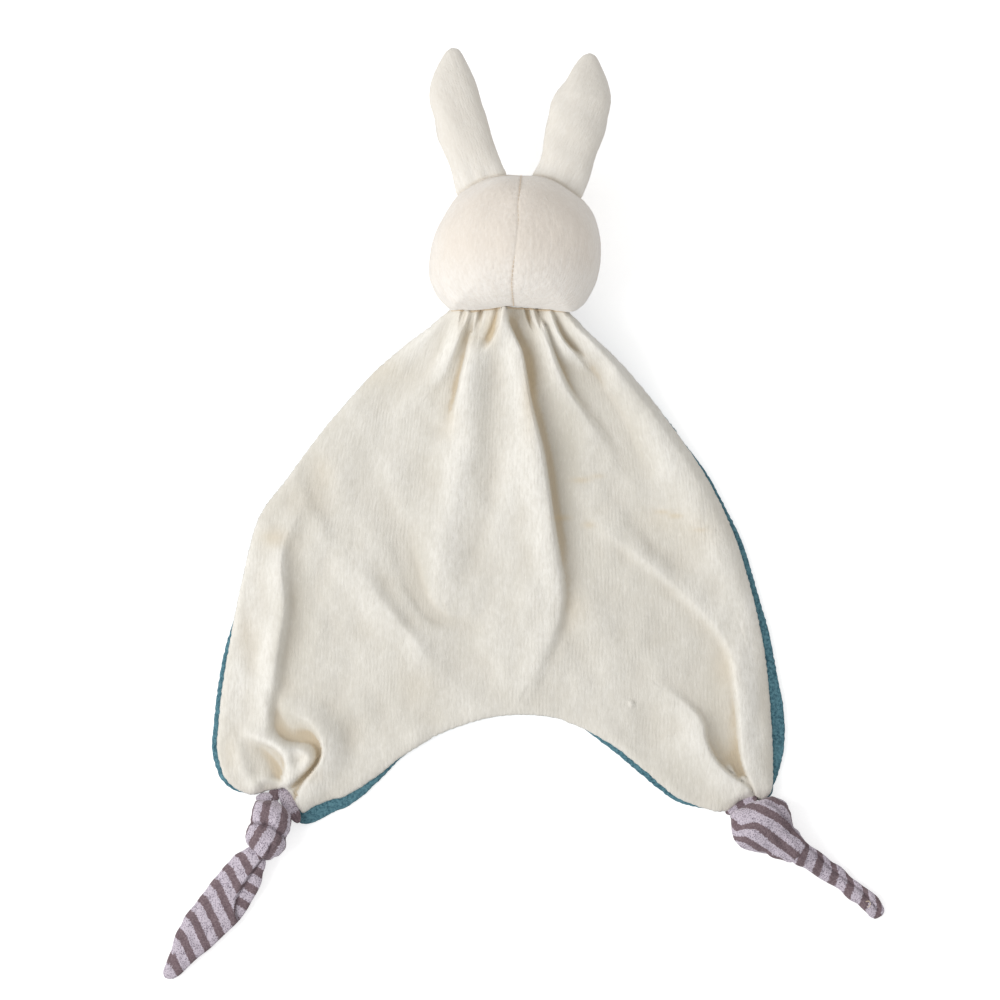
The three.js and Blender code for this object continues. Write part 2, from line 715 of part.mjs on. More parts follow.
function addLeg(group, side) {
  const leg = legs[side];
  const { root } = legFrame(leg);
  const cuff = cuffSolid(leg, 0).subtract(ball(root, legRadius + clearance));
  group.add(
    meshOf(`leg_${side}_cuff`, cuff, materials.stripes),
    meshOf(`leg_${side}_knot`, knotSolid(leg), materials.stripes),
    meshOf(`leg_${side}_tail`, tailSolid(leg), materials.stripes),
  );
}

// Blanket: two cloths on one grid of points, so that the upper one lies on the lower one all over
const restHeight = jerseyThickness + clearance / 2;

const foldCurves = folds.map((fold) => ({
  ...fold,
  points: curveThrough(fold.pathShares.map((share) => sharePoint(share))).getPoints(24),
}));

// Height that one fold adds at a point: a crest along its path, with its own width on each side.
function foldRise(fold, place) {
  let best = { distance: Infinity, t: 0, left: false };
  for (let i = 0; i + 1 < fold.points.length; i++) {
    const step = fold.points[i + 1].clone().sub(fold.points[i]);
    const reach = place.clone().sub(fold.points[i]);
    const f = THREE.MathUtils.clamp(reach.dot(step) / step.lengthSq(), 0, 1);
    const distance = reach.clone().addScaledVector(step, -f).length();
    if (distance < best.distance)
      best = { distance, t: (i + f) / (fold.points.length - 1), left: step.x * reach.y - step.y * reach.x < 0 };
  }
  const width = fold.widthShares[best.left ? 0 : 1] * blanketWidth;
  return foldHeight * along(fold.heightShares, best.t) * bell(best.distance, width);
}

// Where the two cloths meet, and the room above and below, at a point of the grid.
function clothHeights(place, inward) {
  const fromNeck = Math.max(-neckLength - place.y, 0);
  const acrossNeck = Math.max(Math.abs(place.x) - neckWidth / 2, 0);
  const neckDistance = Math.hypot(fromNeck, acrossNeck);
  const rise = foldCurves.reduce((sum, fold) => sum + foldRise(fold, place), 0);
  const pleats = (neckThickness * pleatShare * (1 + Math.cos((place.x / neckWidth) * 2 * Math.PI * pleatCount)) / 2)
    * bell(fromNeck, neckWidth * 0.6);
  const edge = THREE.MathUtils.smoothstep(inward, -0.04, 0.08);
  // What would rise less than the sag lies flat on the floor.
  let middle = restHeight + edge * Math.max(rise + pleats - foldSag, 0);
  let upper = velourThickness;
  let lower = jerseyThickness;
  const nearNeck = bell(neckDistance, neckWidth * 0.75);
  const atNeck = bell(neckDistance, neckThickness * 0.7);
  middle = mix(middle, Math.max(middle * 0.35 + neckHeight * 0.78, neckHeight * 0.8), nearNeck);
  middle = mix(middle, neckHeight, atNeck);
  upper = mix(upper, neckLip(place.x), atNeck);
  lower = mix(lower, neckLip(place.x), atNeck);
  for (const leg of Object.values(legs)) {
    const distance = place.distanceTo(sharePoint(leg.rootShares));
    const atLeg = bell(distance, cuffFlare * 0.8);
    middle = mix(middle, legHeight, atLeg);
    upper = mix(upper, cuffLip, atLeg);
    lower = mix(lower, cuffLip, atLeg);
  }
  return { middle, upper, lower };
}

function addBlanket(group) {
  const [leftEdge, rightEdge, hem] = [leftEdgeShares, rightEdgeShares, hemShares]
    .map((shares) => curveThrough(shares.map((share) => sharePoint(share))));
  const neck = (u) => sharePoint(leftEdgeShares[0]).lerp(sharePoint(rightEdgeShares[0]), u);
  const corners = [neck(0), neck(1), hem.getPoint(0), hem.getPoint(1)];
  // A point of the outline's patch, blended from its four edges.
  const patch = (u, v) => {
    const sum = neck(u).multiplyScalar(1 - v).addScaledVector(hem.getPoint(u), v);
    sum.addScaledVector(leftEdge.getPoint(v), 1 - u).addScaledVector(rightEdge.getPoint(v), u);
    return sum.addScaledVector(corners[0], -(1 - u) * (1 - v)).addScaledVector(corners[1], -u * (1 - v))
      .addScaledVector(corners[2], -(1 - u) * v).addScaledVector(corners[3], -u * v);
  };
  const columnAt = (c) => mix(c / clothColumns, (1 - Math.cos((c / clothColumns) * Math.PI)) / 2, 0.35);
  const rowAt = (r) => mix(r / clothRows, (1 - Math.cos((r / clothRows) * Math.PI)) / 2, 0.3);
  // The lower cloth has one more column at each side and one more row at the hem, which show past the upper one.
  const grid = [];
  for (let r = 0; r <= clothRows + 1; r++) {
    const v = rowAt(Math.min(r, clothRows));
    const row = [];
    for (let c = -1; c <= clothColumns + 1; c++) {
      const u = columnAt(THREE.MathUtils.clamp(c, 0, clothColumns));
      const place = patch(u, v);
      const inward = Math.min(u, 1 - u, 1 - v);
      const heights = clothHeights(place, inward);
      const peek = new THREE.Vector3();
      const step = 0.01;
      if (c < 0 || c > clothColumns) {
        const edge = c < 0 ? leftEdge : rightEdge;
        const run = edge.getPoint(Math.min(v + step, 1)).sub(edge.getPoint(Math.max(v - step, 0)));
        const size = along(c < 0 ? leftPeekShares : rightPeekShares, v) * hemPeek;
        peek.add(new THREE.Vector3(c < 0 ? run.y : -run.y, c < 0 ? -run.x : run.x, 0).setLength(size));
      }
      if (r > clothRows) {
        const run = hem.getPoint(Math.min(u + step, 1)).sub(hem.getPoint(Math.max(u - step, 0)));
        peek.add(new THREE.Vector3(run.y, -run.x, 0).setLength(along(hemPeekShares, u) * hemPeek));
      }
      row.push({ place: place.add(peek), ...heights });
    }
    grid.push(row);
  }
  const clothSolid = (firstColumn, lastColumn, lastRow, topOf, bottomOf) => {
    const points = [];
    const triangles = [];
    const columns = lastColumn - firstColumn + 1;
    const index = (r, c, layer) => ((r * columns) + c) * 2 + layer;
    for (let r = 0; r <= lastRow; r++)
      for (let c = firstColumn; c <= lastColumn; c++) {
        const cell = grid[r][c];
        points.push(cell.place.clone().setZ(topOf(cell)), cell.place.clone().setZ(bottomOf(cell)));
      }
    const quad = (a, b, c, d) => triangles.push(a, b, c, a, c, d);
    // Top and bottom are split along the same diagonal, so that cloth lies flat on cloth.
    for (let r = 0; r < lastRow; r++)
      for (let c = 0; c + 1 < columns; c++) {
        quad(index(r, c, 0), index(r + 1, c, 0), index(r + 1, c + 1, 0), index(r, c + 1, 0));
        quad(index(r, c, 1), index(r, c + 1, 1), index(r + 1, c + 1, 1), index(r + 1, c, 1));
      }
    for (let r = 0; r < lastRow; r++) {
      quad(index(r, 0, 1), index(r + 1, 0, 1), index(r + 1, 0, 0), index(r, 0, 0));
      quad(index(r, columns - 1, 0), index(r + 1, columns - 1, 0), index(r + 1, columns - 1, 1), index(r, columns - 1, 1));
    }
    for (let c = 0; c + 1 < columns; c++) {
      quad(index(0, c, 0), index(0, c + 1, 0), index(0, c + 1, 1), index(0, c, 1));
      quad(index(lastRow, c, 1), index(lastRow, c + 1, 1), index(lastRow, c + 1, 0), index(lastRow, c, 0));
    }
    return solidOf(points, triangles);
  };
  const upper = clothSolid(1, clothColumns + 1, clothRows,
    (cell) => cell.middle + clearance / 2 + cell.upper, (cell) => cell.middle + clearance / 2);
  const lower = clothSolid(0, clothColumns + 2, clothRows + 1,
    (cell) => cell.middle - clearance / 2, (cell) => Math.max(cell.middle - clearance / 2 - cell.lower, 0));
  const cuts = [
    neckGroove(),
    neckSwing(radians(headNod)),
    neckSwing(-radians(headNod)),
    ...Object.values(legs).flatMap((leg) => [
      cuffSolid(leg, clearance),
      ball(legFrame(leg).root, legRadius + clearance),
      knotNotch(leg),
      knotSwing(leg, radians(legFold)),
      knotSwing(leg, -radians(legFold)),
    ]),
  ];
  const fitted = (solid) => cuts.reduce((left, cut) => left.subtract(cut), solid);
  group.add(
    meshOf("blanket_back", fitted(upper), materials.velour),
    meshOf("blanket_front", fitted(lower), materials.teal),
  );
}

const lovey = new THREE.Group();
addBlanket(lovey);
addNeck(lovey);
addHead(lovey);
addEar(lovey, "left");
addEar(lovey, "right");
addLeg(lovey, "left");
addLeg(lovey, "right");

// The frame's origin is the middle of the footprint, on the surface that it lies on.
const footprint = new THREE.Box3().setFromObject(lovey);
lovey.position.set(
  -(footprint.min.x + footprint.max.x) / 2,
  -(footprint.min.y + footprint.max.y) / 2,
  -footprint.min.z,
);
const part = new THREE.Group();
part.add(lovey);

export default part;
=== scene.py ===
# Looks of the rabbit comfort blanket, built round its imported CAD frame.
# Everything is in metres. The cloth lies on the floor at z = 0, with the ears towards +Y.
# Paths that follow the photograph are lists of its pixels, named so, and spot() places them.
import json
import math

import bmesh
import bpy
import numpy as np
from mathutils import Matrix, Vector


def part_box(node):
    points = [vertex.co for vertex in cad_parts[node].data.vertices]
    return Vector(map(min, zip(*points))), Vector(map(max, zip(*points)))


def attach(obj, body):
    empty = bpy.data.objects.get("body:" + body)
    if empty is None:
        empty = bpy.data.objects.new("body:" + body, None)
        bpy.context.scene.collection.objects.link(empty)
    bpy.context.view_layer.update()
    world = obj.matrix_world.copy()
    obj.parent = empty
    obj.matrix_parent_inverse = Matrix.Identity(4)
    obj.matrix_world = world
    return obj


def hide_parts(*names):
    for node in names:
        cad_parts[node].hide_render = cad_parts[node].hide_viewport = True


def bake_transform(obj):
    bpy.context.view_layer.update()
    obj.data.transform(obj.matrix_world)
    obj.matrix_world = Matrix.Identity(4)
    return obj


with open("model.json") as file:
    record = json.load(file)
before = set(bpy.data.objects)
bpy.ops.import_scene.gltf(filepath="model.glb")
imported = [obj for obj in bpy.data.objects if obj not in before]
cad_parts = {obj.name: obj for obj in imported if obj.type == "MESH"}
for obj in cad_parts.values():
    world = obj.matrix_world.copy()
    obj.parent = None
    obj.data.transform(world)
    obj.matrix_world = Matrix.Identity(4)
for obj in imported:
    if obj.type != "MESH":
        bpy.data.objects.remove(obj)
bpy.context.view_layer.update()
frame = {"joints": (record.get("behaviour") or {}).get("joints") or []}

MM = 0.001
joints = {joint["name"]: joint for joint in frame["joints"]}
neck = np.array(joints["head_nod"]["pos_m"])
NECK_PX = (515.0, 320.6)
METRES_PER_PX = 0.4069 * MM
PHOTO_PX = 1000

# Cloth
VELOUR = 2.0 * MM
JERSEY = 1.4 * MM
CLOTH_TOP = 5.0 * MM
LOWEST_TOP = 4.0 * MM
LOWEST_SOFTNESS = 0.8 * MM
EDGE_ROLL = 5.0 * MM
SEAM_HEIGHT = 3.2 * MM
NECK_LENGTH = 3.5 * MM
NECK_HALF_THICKNESS = 5.5 * MM
NECK_REACH = 32.0 * MM
NECK_SINK = 1.5 * MM
NECK_CELLS = 20
NECK_FOLDS = 0.6
CHIN_OVERLAP = 1.6 * MM
CLOTH_COLUMNS = 380
CLOTH_ROWS = 350
FOLD_STEPS = 6
FOLD_SPREAD = 2.6
FAN = 0.2
# Masks of painted shade in the cloth's hollows and of painted highlight on its crests: the cells each
# averages over, and the depth or rise at which it is full
HOLLOW_CELLS = 7
HOLLOW_DEPTH = 2.1 * MM
CREST_CELLS = 14
CREST_RISE = 2.6 * MM

# Teal side of the cloth, which rolls up past the cream edge, with a groove where the roll is wide
TEAL_GAP = 0.4 * MM
TEAL_LOWEST = 0.2 * MM
TEAL_LEAST = 0.15 * MM
TEAL_SETTLE = 6 * MM
TEAL_EDGE_DROP = 2.8 * MM
TEAL_AT_NECK = 10 * MM
TEAL_DRAWN_IN = 0.07
TEAL_INSET = 0.5 * MM
TEAL_INSET_UNTIL = 1.2 * MM
ROLL_STEPS = 12
ROLL_DROP = 0.8 * MM
ROLL_LEAST = 0.4 * MM
ROLL_RISE = 0.22
ROLL_TUCK = 1.5 * MM
GROOVE_SHOWS = (3.0 * MM, 4.6 * MM)
GROOVE_DEPTH = 0.9 * MM
GROOVE_PLACE = 0.62
GROOVE_WIDTH = 0.16

# Unevenness of a surface: wavelength, number of waves, seed and height
CLOTH_LUMPS = [
    (26 * MM, 12, 3, 0.4 * MM),
    (10 * MM, 12, 4, 0.14 * MM),
    (4.5 * MM, 14, 5, 0.05 * MM),
]
EDGE_NAP = [(2.4 * MM, 16, 6, 0.12 * MM), (2.4 * MM, 16, 7, 0.12 * MM)]
PILE_NAP = (2.2 * MM, 18, 41, 0.04 * MM)
HEAD_LUMPS = (24 * MM, 10, 8, 0.3 * MM)
HEAD_DIMPLES = (9 * MM, 12, 9, 0.06 * MM)
EAR_LUMPS = (16 * MM, 8, 11, 0.3 * MM)
TAIL_LUMPS = (5 * MM, 12, 31, 0.22 * MM)
LOWEST = 0.1 * MM

# Head
HEAD_POWER = 2.15
HEAD_SUNK = 0.5 * MM
HEAD_CELLS = 140
HEAD_ROUND = (34.6 * MM, 27.6 * MM)
CHIN_LEVEL_PX = (515, 310)
# Painted highlight near the chin: full within the nearer distance above it, gone at the farther one
CHIN_HIGHLIGHT_FROM = 26 * MM
CHIN_HIGHLIGHT_FULL = 6 * MM
STITCH_PITCH = 2.2 * MM
BACK_FADE = 5 * MM
SEAM_TINT = 0.22
EAR_SEAM_TINT = 0.9
EAR_SEAM_WIDTH = 0.6 * MM
EAR_SEAM_FADE = 2 * MM
LAY_DEPTH = 12 * MM
LAY_RADIUS = 30 * MM

# Lines pressed into the head and ears: how wide and how deep
BACK_SEAM = (0.5 * MM, 0.22 * MM)
SEAM_VALLEY = (2.6 * MM, 0.16 * MM)
SIDE_SEAM = (0.8 * MM, 0.5 * MM)
PUCKERS = (1.4 * MM, 0.05 * MM)
PUCKERS_ASIDE = 1.8 * MM
EAR_CREASE = (0.8 * MM, 0.5 * MM)

# Ears
EAR_THICKNESS = 15 * MM
EAR_DROOP = 9
EAR_FULL_WIDTH = 11 * MM
EAR_SWELL = [(0, 0.40), (0.08, 0.46), (0.22, 0.82), (0.42, 1), (1, 1)]
EAR_GATHER_DEPTH = 0.35 * MM
EAR_SEAM_DEPTH = 0.5 * MM
EAR_DARK_REACH = 0.7 * MM
# How far from the head the painted highlight on an ear reaches
EAR_HIGHLIGHT_REACH = 9 * MM
EAR_RINGS = 100
EAR_SIDES = 60

# Striped legs
STRIPE = 7.4 * MM
LEG_RINGS = 90
TAIL_RINGS = 130
KNOT_SIDES = 96
CUFF_RINGS = 36
CUFF_SIDES = 40
STRIPED_LOWEST = 0.15 * MM
UPPER_SIDE = (-0.2, 0.3)

# Stage. The camera shows the photograph's scale at the photo level
FLOOR_HALF_WIDTH = 6.0
FLOOR_DROP = 0.05 * MM
FLOOR_GLOW = 0.56
LIGHT_DIRECTION = (0.76, 0.13, -0.64)
LIGHT_DISTANCE = 1.8
LIGHT_SIZE = 1.3
LIGHT_STRENGTH = 1.72
ROOM_GLOW = 0.62
CAMERA_DISTANCE = 2.2
PHOTO_LEVEL = 14 * MM
SENSOR_WIDTH = 36
VIEW_DEPTH = 20


def spot(px, py):
    """The place in the frame, seen from above, of a pixel of the photograph."""
    return (neck[0] + (px - NECK_PX[0]) * METRES_PER_PX, neck[1] - (py - NECK_PX[1]) * METRES_PER_PX)


def spots(path_px):
    return np.array([spot(*p) for p in path_px])


def linear(red, green, blue):
    """A colour of the photograph, 0 to 255 each, as Blender's linear colour."""
    def one(value):
        value /= 255
        return value / 12.92 if value <= 0.04045 else ((value + 0.055) / 1.055) ** 2.4
    return (one(red), one(green), one(blue), 1.0)


# Curves and waves

def smooth_curve(points, count):
    """A Catmull-Rom curve through points, as count places spaced evenly from point to point."""
    points = np.asarray(points, float)
    padded = np.vstack([2 * points[0] - points[1], points, 2 * points[-1] - points[-2]])
    place = np.linspace(0, len(points) - 1, count)
    i = np.minimum(place.astype(int), len(points) - 2)
    f = (place - i)[:, None]
    a, b, c, d = padded[i], padded[i + 1], padded[i + 2], padded[i + 3]
    return b + 0.5 * f * (c - a + f * (2 * a - 5 * b + 4 * c - d + f * (3 * (b - c) + d - a)))


def even(points, count):
    """count places on a smooth curve through points, spaced evenly by length."""
    fine = smooth_curve(points, 40 * len(points))
    run = np.concatenate([[0], np.cumsum(np.linalg.norm(np.diff(fine, axis=0), axis=1))])
    wanted = np.linspace(0, run[-1], count)
    return np.stack([np.interp(wanted, run, fine[:, k]) for k in range(fine.shape[1])], axis=1)


def spread(values, share):
    """values spread evenly from share 0 to share 1, read at share."""
    return np.interp(share, np.linspace(0, 1, len(values)), values) if len(values) > 1 else values[0]


def smoothstep(low, high, value):
    t = np.clip((value - low) / (high - low), 0, 1)
    return t * t * (3 - 2 * t)


def bell(distance, width):
    return np.exp(-((distance / width) ** 2))


def bent(value, power):
    """value raised to a power, with its sign kept."""
    return np.sign(value) * np.abs(value) ** power


def unit(rows):
    return rows / np.linalg.norm(rows, axis=1)[:, None]


def ripples(x, y, wavelength, count, seed):
    """Gentle random waves of about one wavelength, between -1 and 1."""
    rng = np.random.default_rng(seed)
    total = np.zeros_like(x)
    for _ in range(count):
        angle = rng.uniform(0, 2 * math.pi)
        length = wavelength * rng.uniform(0.7, 1.5)
        phase = rng.uniform(0, 2 * math.pi)
        total += np.sin((x * math.cos(angle) + y * math.sin(angle)) * 2 * math.pi / length + phase)
    return total / count ** 0.5


def uneven(x, y, wavelength, count, seed, height):
    return ripples(x, y, wavelength, count, seed) * height


def nap(points):
    """Uneven height of the pile."""
    x, y, z = points[..., 0], points[..., 1], points[..., 2]
    return uneven(x + 0.6 * z, y - 0.5 * z, *PILE_NAP)


def pressed(distance, line):
    """How deep a pressed line, with its width and depth, is at a distance from it."""
    width, depth = line
    return depth * bell(distance, width)


def soften(values, passes):
    for _ in range(passes):
        inner = (values[:-2] + 2 * values[1:-1] + values[2:]) / 4
        values = np.concatenate([values[:1], inner, values[-1:]])
    return values


def blurred(values, cells):
    """A grid's values, each averaged over the cells round it, three times over."""
    width = 2 * cells + 1
    for _ in range(3):
        for axis in (0, 1):
            margin = [(0, 0), (0, 0)]
            margin[axis] = (cells + 1, cells)
            run = np.cumsum(np.pad(values, margin, mode="edge"), axis=axis)
            high = np.take(run, range(width, run.shape[axis]), axis)
            low = np.take(run, range(run.shape[axis] - width), axis)
            values = (high - low) / width
    return values


# Meshes

def linked(name, data):
    made = bpy.data.objects.new(name, data)
    bpy.context.collection.objects.link(made)
    return made


def mesh_object(name, points, faces, lay=None):
    """A smooth-shaded mesh. lay is each point's place on the flat cloth, for the weave."""
    mesh = bpy.data.meshes.new(name)
    mesh.from_pydata([tuple(p) for p in points], [], faces)
    mesh.update()
    mesh.polygons.foreach_set("use_smooth", [True] * len(mesh.polygons))
    if lay is not None:
        attribute = mesh.attributes.new("lay", "FLOAT_VECTOR", "POINT")
        attribute.data.foreach_set("vector", np.asarray(lay, np.float32).ravel())
    return linked(name, mesh)


def add_amount(piece, name, values):
    """A number from 0 to 1 at each point of a piece, for its material."""
    attribute = piece.data.attributes.new(name, "FLOAT", "POINT")
    attribute.data.foreach_set("value", np.asarray(values, np.float32).ravel())


def grid_faces(rows, columns, first=0, closed=False):
    """Faces of a grid of points, row by row. A closed grid joins its last column to its first."""
    r = np.arange(rows - 1)[:, None]
    c = np.arange(columns if closed else columns - 1)[None, :]
    n = (c + 1) % columns
    a, b = r * columns + c, r * columns + n
    quads = np.stack([a, a + columns, b + columns, b], axis=-1).reshape(-1, 4) + first
    return quads.tolist()


def tube_faces(rings, sides, first=0):
    """Faces of a tube of rings that is closed at both ends."""
    last = first + (rings - 1) * sides
    caps = [[first + i for i in range(sides)], [last + i for i in reversed(range(sides))]]
    return grid_faces(rings, sides, first, closed=True) + caps


def join_forms(name, forms):
    """One object from several (points, faces, lay) forms."""
    points, faces, lay = [], [], []
    for form_points, form_faces, form_lay in forms:
        start = len(points)
        points.extend(form_points)
        lay.extend(form_lay)
        faces.extend([[i + start for i in face] for face in form_faces])
    return mesh_object(name, points, faces, lay)


def face_outward(piece):
    shell = bmesh.new()
    shell.from_mesh(piece.data)
    bmesh.ops.recalc_face_normals(shell, faces=shell.faces)
    shell.to_mesh(piece.data)
    shell.free()


def apply_modifiers(piece):
    graph = bpy.context.evaluated_depsgraph_get()
    mesh = bpy.data.meshes.new_from_object(piece.evaluated_get(graph))
    piece.modifiers.clear()
    piece.data = mesh


def thicken(piece, thickness):
    """Gives a sheet its thickness, on its inner side."""
    solid = piece.modifiers.new("thickness", "SOLIDIFY")
    solid.thickness = thickness
    solid.offset = -1
    solid.use_even_offset = False
    apply_modifiers(piece)


# Materials

class Shader:
    """A Principled material under construction."""

    def __init__(self, name):
        self.material = bpy.data.materials.new(name)
        self.material.use_nodes = True
        self.tree = self.material.node_tree
        self.surface = self.tree.nodes["Principled BSDF"]

    def feed(self, socket, value):
        if isinstance(value, bpy.types.NodeSocket):
            self.tree.links.new(value, socket)
        else:
            socket.default_value = value

    def node(self, kind, **inputs):
        made = self.tree.nodes.new(kind)
        for name, value in inputs.items():
            self.feed(made.inputs[name.replace("_", " ")], value)
        return made

    def math(self, operation, first, second=0.0):
        made = self.tree.nodes.new("ShaderNodeMath")
        made.operation = operation
        self.feed(made.inputs[0], first)
        self.feed(made.inputs[1], second)
        return made.outputs[0]

    def times(self, first, second):
        return self.math("MULTIPLY", first, second)

    def plus(self, first, second):
        return self.math("ADD", first, second)

    def mix(self, factor, first, second):
        made = self.tree.nodes.new("ShaderNodeMix")
        made.data_type = "RGBA"
        self.feed(made.inputs["Factor"], factor)
        self.feed(made.inputs["A"], first)
        self.feed(made.inputs["B"], second)
        return made.outputs["Result"]

    def noise(self, scale, detail, roughness, vector):
        made = self.node(
            "ShaderNodeTexNoise", Scale=scale, Detail=detail, Roughness=roughness, Vector=vector
        )
        return made.outputs["Fac"]

    def span(self, value, low, high):
        """value's range from low to high, as 0 to 1."""
        made = self.node("ShaderNodeMapRange", Value=value)
        made.inputs["From Min"].default_value = low
        made.inputs["From Max"].default_value = high
        return made.outputs["Result"]

    def amount(self, name):
        made = self.tree.nodes.new("ShaderNodeAttribute")
        made.attribute_name = name
        return made.outputs["Fac"]

    def lay(self):
        """The place on the flat cloth: across, along and through it."""
        place = self.tree.nodes.new("ShaderNodeAttribute")
        place.attribute_name = "lay"
        parts = self.node("ShaderNodeSeparateXYZ", Vector=place.outputs["Vector"])
        return parts.outputs["X"], parts.outputs["Y"], parts.outputs["Z"]

    def places(self):
        return self.tree.nodes.new("ShaderNodeTexCoord").outputs["Object"]

    def bump(self, height, distance, strength, under=None):
        made = self.node("ShaderNodeBump", Height=height, Distance=distance, Strength=strength)
        if under is not None:
            self.feed(made.inputs["Normal"], under)
        return made.outputs["Normal"]

    def layered(self, tone, layers):
        """A tone with layers mixed over it, each an amount, its strength and its colour."""
        for amount, strength, color in layers:
            tone = self.mix(self.times(amount, strength), tone, color)
        return tone

    def finish(self, color, normal, roughness, sheen, sheen_roughness, specular):
        self.feed(self.surface.inputs["Base Color"], color)
        self.feed(self.surface.inputs["Normal"], normal)
        for name, value in (
            ("Roughness", roughness),
            ("Sheen Weight", sheen),
            ("Sheen Roughness", sheen_roughness),
            ("Specular IOR Level", specular),
        ):
            self.surface.inputs[name].default_value = value
        return self.material


# Colours, 0 to 255 each. A velour has one for its pile, its shade, the painted highlight of its crests
# and the painted shade of its deep hollows, which on the head and ears also colours the seams
CREAM_VELOUR = [(236, 232, 223), (212, 207, 195), (250, 247, 240), (196, 176, 142)]
HEAD_VELOUR = [(242, 233, 222), (231, 221, 209), (251, 247, 241), (210, 186, 154)]
EAR_VELOUR = [(240, 235, 226), (228, 221, 210), (249, 246, 240), (212, 192, 166)]
# Warm beige of the painted shade in hollows; on the head and ears it colours the seams
SEAM_AND_SHADE_BEIGE = linear(206, 197, 181)
STAIN = linear(214, 192, 152)
TEAL_DARK = linear(52, 88, 102)
TEAL_LIGHT = linear(104, 148, 160)
TEAL_WORN = linear(106, 150, 162)
LILAC = linear(208, 198, 209)
LILAC_SPECK = linear(104, 91, 106)
MAUVE_DARK = linear(114, 97, 102)
MAUVE_LIGHT = linear(140, 123, 127)
# Painted shade in the creases of the knots and tails
CREASE_SHADE = linear(84, 70, 76)
THREAD = [(222, 206, 182), (180, 158, 128)]
SEAM_THREAD = [(228, 212, 192), (206, 184, 158)]
FACE_THREAD = [(112, 94, 98), (70, 56, 60)]

# Wales of each velour: how far apart and how high
CREAM_WALES = (1.5 * MM, 0.06 * MM)
HEAD_WALES = (0.9 * MM, 0.025 * MM)
EAR_WALES = (1.1 * MM, 0.03 * MM)

# Patterns of the velour, the teal jersey, the striped jersey and the thread: how fine each is, as
# a noise scale in metres, and how high its bump is
STRANDS = 1000
TUFTS = 330
CLOUDS = 24
WALE_DRIFT = 90
WALE_PATCHES = 45
PILE_LEAN = 0.28
STRAND_BUMP = 0.45 * MM
TUFT_BUMP = 0.8 * MM
TEAL_LOOPS = 1400
TEAL_GRAIN = 900
TEAL_WEAR = 70
TEAL_LUMPS = 120
LOOP_BUMP = 0.3 * MM
TEAL_LUMP_BUMP = 0.8 * MM
KNIT_SPECKS = 1500
SPECK_PATCHES = 260
STRIPE_EDGE = 1100
STRIPE_RAGGED = 1.9 * MM
MAUVE_GRAIN = 1400
KNIT_GRAIN = 1500
KNIT_ROW = 0.9 * MM
KNIT_ROW_BUMP = 0.08 * MM
KNIT_BUMP = 0.3 * MM
SPECK_BUMP = 0.2 * MM
SPUN_FIBRE = 2200
SPUN_BUMP = 0.1 * MM


def velour(name, colors, wale, wale_depth):
    """Short pile, brushed along the cloth, with fine wales that show in places."""
    s = Shader(name)
    color, shade, crest, hollow = (linear(*c) for c in colors)
    across, along, through = s.lay()
    places = s.places()
    leaning = s.times(along, PILE_LEAN)
    brushed = s.node("ShaderNodeCombineXYZ", X=across, Y=leaning, Z=through).outputs[0]
    drift = s.times(s.noise(WALE_DRIFT, 2, 0.5, places), 1.6 * wale)
    wave = s.math("SINE", s.times(s.plus(across, drift), 2 * math.pi / wale))
    shown = s.span(s.noise(WALE_PATCHES, 3, 0.6, places), 0.45, 0.7)
    ribs = s.times(wave, s.plus(s.times(shown, 0.8), 0.15))
    strands = s.noise(STRANDS, 5, 0.7, brushed)
    tufts = s.noise(TUFTS, 4, 0.65, brushed)
    # Painted light in the tone: highlight on crests and pale patches, shade in dull patches and in
    # hollows, warm beige in the deepest. On the head and ears the hollow amount is the seams' colour
    # instead
    tone = s.layered(color, [
        (s.span(s.noise(CLOUDS, 4, 0.55, places), 0.34, 0.68), 0.35, shade),
        (s.amount("crest"), 0.8, crest),
        (s.amount("dull"), 0.8, shade),
        (s.span(tufts, 0.4, 0.7), 0.3, shade),
        (s.span(strands, 0.45, 0.7), 0.45, shade),
        (s.span(strands, 0.46, 0.26), 0.4, crest),
        (s.amount("hollow"), 0.75, SEAM_AND_SHADE_BEIGE),
        (s.span(s.amount("hollow"), 0.6, 1.0), 0.5, hollow),
        (s.amount("stain"), 0.4, STAIN),
    ])
    normal = s.bump(strands, STRAND_BUMP, 0.5)
    normal = s.bump(tufts, TUFT_BUMP, 0.4, normal)
    normal = s.bump(ribs, wale_depth, 0.5, normal)
    return s.finish(tone, normal, 0.95, 0.5, 0.45, 0.1)


def teal_jersey():
    """Matt knitted jersey with a grainy, slightly looped face."""
    s = Shader("teal_jersey")
    places = s.places()
    loops = s.node("ShaderNodeTexVoronoi", Vector=places, Scale=TEAL_LOOPS)
    tone = s.mix(s.span(s.noise(TEAL_GRAIN, 4, 0.7, places), 0.36, 0.64), TEAL_DARK, TEAL_LIGHT)
    worn = s.span(s.noise(TEAL_WEAR, 3, 0.5, places), 0.4, 0.7)
    tone = s.layered(tone, [(worn, 0.3, TEAL_WORN)])
    normal = s.bump(loops.outputs["Distance"], LOOP_BUMP, 0.5)
    normal = s.bump(s.noise(TEAL_LUMPS, 2, 0.5, places), TEAL_LUMP_BUMP, 0.3, normal)
    return s.finish(tone, normal, 0.95, 0.2, 0.4, 0.1)


